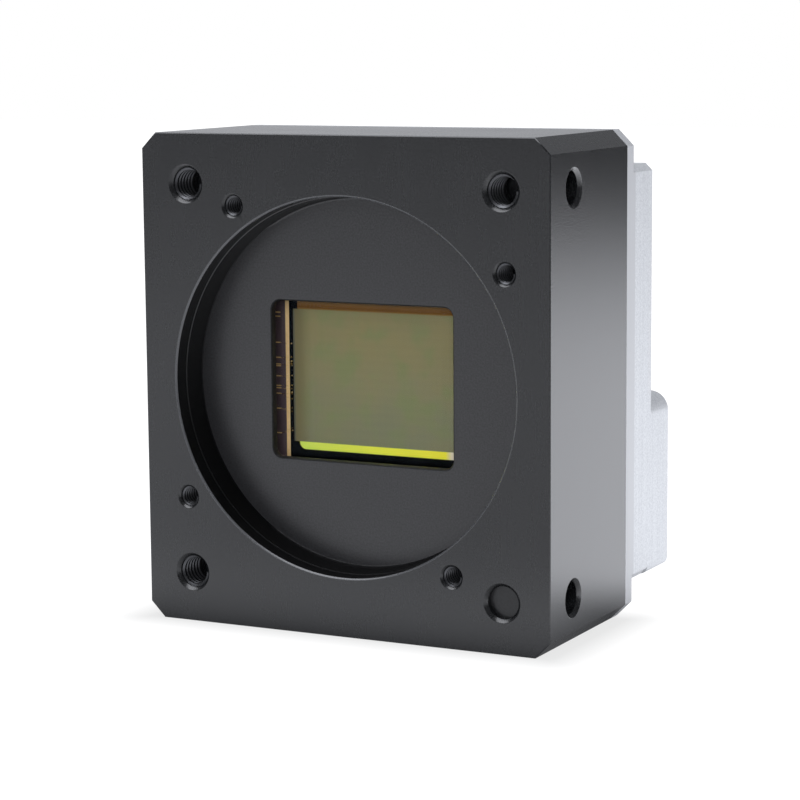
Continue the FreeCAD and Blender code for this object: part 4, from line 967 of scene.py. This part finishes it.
# %% The room
COOL_WHITE = "f6f8fe"
GLOWS = [((-0.5, 0.75, 0.43), 9.0, 1.12), ((-0.6, -0.75, -0.3), 2.0, 0.15)]

room = bpy.data.worlds.new("studio")
bpy.context.scene.world = room
room.use_nodes = True
tree = room.node_tree
tree.nodes.clear()
direction = add(tree, "TexCoord").outputs["Generated"]
dim = 0.06
for towards, sharpness, strength in GLOWS:
    sky = add(tree, "VectorMath DOT_PRODUCT", {0: direction, 1: Vector(towards).normalized()})
    facing = add(tree, "Math MAXIMUM", {0: sky, 1: 0.0})
    lobe = add(tree, "Math POWER", {0: facing, 1: sharpness})
    dim = add(tree, "Math MULTIPLY_ADD", {0: lobe, 1: strength, 2: dim})
ray = add(tree, "LightPath").outputs
even = add(tree, "Mix", {0: ray["Is Glossy Ray"], 2: 0.65, 3: dim})
shown = add(tree, "Math MAXIMUM", {0: ray["Is Camera Ray"], 1: ray["Is Transmission Ray"]})
level = add(tree, "Mix", {0: shown, 2: even, 3: 1.0})
tone = add(tree, "Mix RGBA", {0: shown, 6: COOL_WHITE, 7: (1, 1, 1, 1)})
glow = add(tree, "Background", {"Color": tone, "Strength": level})
add(tree, "OutputWorld", {"Surface": glow})
print("room:", len(tree.nodes), "nodes")

# %% [markdown]
# The floor is three things in one. Camera rays see paper that fades from a soft contact shadow to
# white. Matt surfaces are lit by plain pale paper. Glossy rays, which is what the black faces
# mirror, see a floor whose light changes with the gap to the object: dim in front, and bright
# behind but dark close to the foot.

# %% The floor, as the camera sees it
FOOT_MIDDLE_Y, FOOT_HALF_X, FOOT_HALF_Y = 12, 28, 12

paper = bpy.data.materials.new("white_paper")
paper.use_nodes = True
tree = paper.node_tree
tree.nodes.clear()
ray = add(tree, "LightPath").outputs
spot = add(tree, "TexCoord").outputs["Object"]
shown = add(tree, "Math MAXIMUM", {0: ray["Is Camera Ray"], 1: ray["Is Transmission Ray"]})
share = add(tree, "Mix RGBA", {0: shown, 6: "e2e2e2", 7: "4c4c4c"})
matte = add(tree, "BsdfDiffuse", {"Color": share})
centred = add(tree, "VectorMath SUBTRACT", {0: spot, 1: (0, FOOT_MIDDLE_Y * MM, 0)})
outward = add(tree, "VectorMath ABSOLUTE", {0: centred})
half_foot = (FOOT_HALF_X * MM, FOOT_HALF_Y * MM, 1.0)
beyond = add(tree, "VectorMath SUBTRACT", {0: outward, 1: half_foot})
outside = add(tree, "VectorMath MAXIMUM", {0: beyond, 1: (0, 0, 0)})
gap = add(tree, "VectorMath LENGTH", {0: outside})
away = add(tree, "MapRange", {"Value": gap, "From Max": 8 * MM, "To Min": 0.76, "To Max": 1.12})
lift = add(tree, "Math MULTIPLY", {0: shown, 1: away})
glow = add(tree, "Emission", {"Color": (1, 1, 1, 1), "Strength": lift})
plain = add(tree, "AddShader", {0: matte, 1: glow})
print("paper for the eye:", len(tree.nodes), "nodes")

# %% The floor, as the black faces mirror it
near = add(tree, "MapRange", {"Value": gap, "From Max": 25 * MM, "To Min": 0.05})
front_fall = add(tree, "MapRange", {"Value": gap, "From Min": 250 * MM, "From Max": 700 * MM,
                                    "To Min": 1.0, "To Max": 0.3})
front_level = along(tree, spot, "X", -220, -10, 0.74, 0.41, smooth=False)
front_foot = add(tree, "MapRange", {"Value": gap, "From Max": 80 * MM, "To Min": 0.72})
front_light = add(tree, "Math MULTIPLY", {0: front_fall, 1: front_level})
in_front = add(tree, "Math MULTIPLY", {0: front_light, 1: front_foot})
back_fall = add(tree, "MapRange", {"Value": gap, "From Min": 200 * MM, "From Max": 890 * MM,
                                   "To Min": 1.7, "To Max": 0.0}, interpolation_type="SMOOTHSTEP")
at_back = add(tree, "Math MULTIPLY", {0: near, 1: back_fall})
behind = along(tree, spot, "Y", -60, 60)
both = add(tree, "Mix", {0: behind, 2: in_front, 3: at_back})
mirror = add(tree, "Emission", {"Color": COOL_WHITE, "Strength": both})
surface = add(tree, "MixShader", {0: ray["Is Glossy Ray"], 1: plain, 2: mirror})
add(tree, "OutputMaterial", {"Surface": surface})

select_only()
bpy.ops.mesh.primitive_plane_add(size=3.0, location=(0, 0, -(HALF_HEIGHT + 0.02) * MM))
floor = bpy.context.object
floor.name = "floor"
floor.data.materials.append(paper)
print("floor:", len(tree.nodes), "nodes")


# %% The lamps
def lamp(name, place, target, side, radiance, mirrored=True):
    """Add a soft square lamp that faces a point. Radiance 1 looks like paper in full light."""
    bpy.ops.object.light_add(type="AREA", location=Vector(place) * MM)
    light = bpy.context.object
    light.name = name
    light.data.size = side * MM
    light.data.energy = radiance * side * side * MM * MM * math.pi
    light.data.color = linear(COOL_WHITE)[:3]
    light.rotation_euler = (Vector(target) - Vector(place)).to_track_quat("-Z", "Y").to_euler()
    light.visible_glossy = mirrored


lamp("top_panel", (-150, -110, 420), (0, 10, 0), 380, 1.9)
lamp("side_panel", (420, 60, 160), (28, 15, 0), 260, 5.8, mirrored=False)
lamp("front_fill", (60, -480, 80), (0, 5, 0), 420, 2.6, mirrored=False)
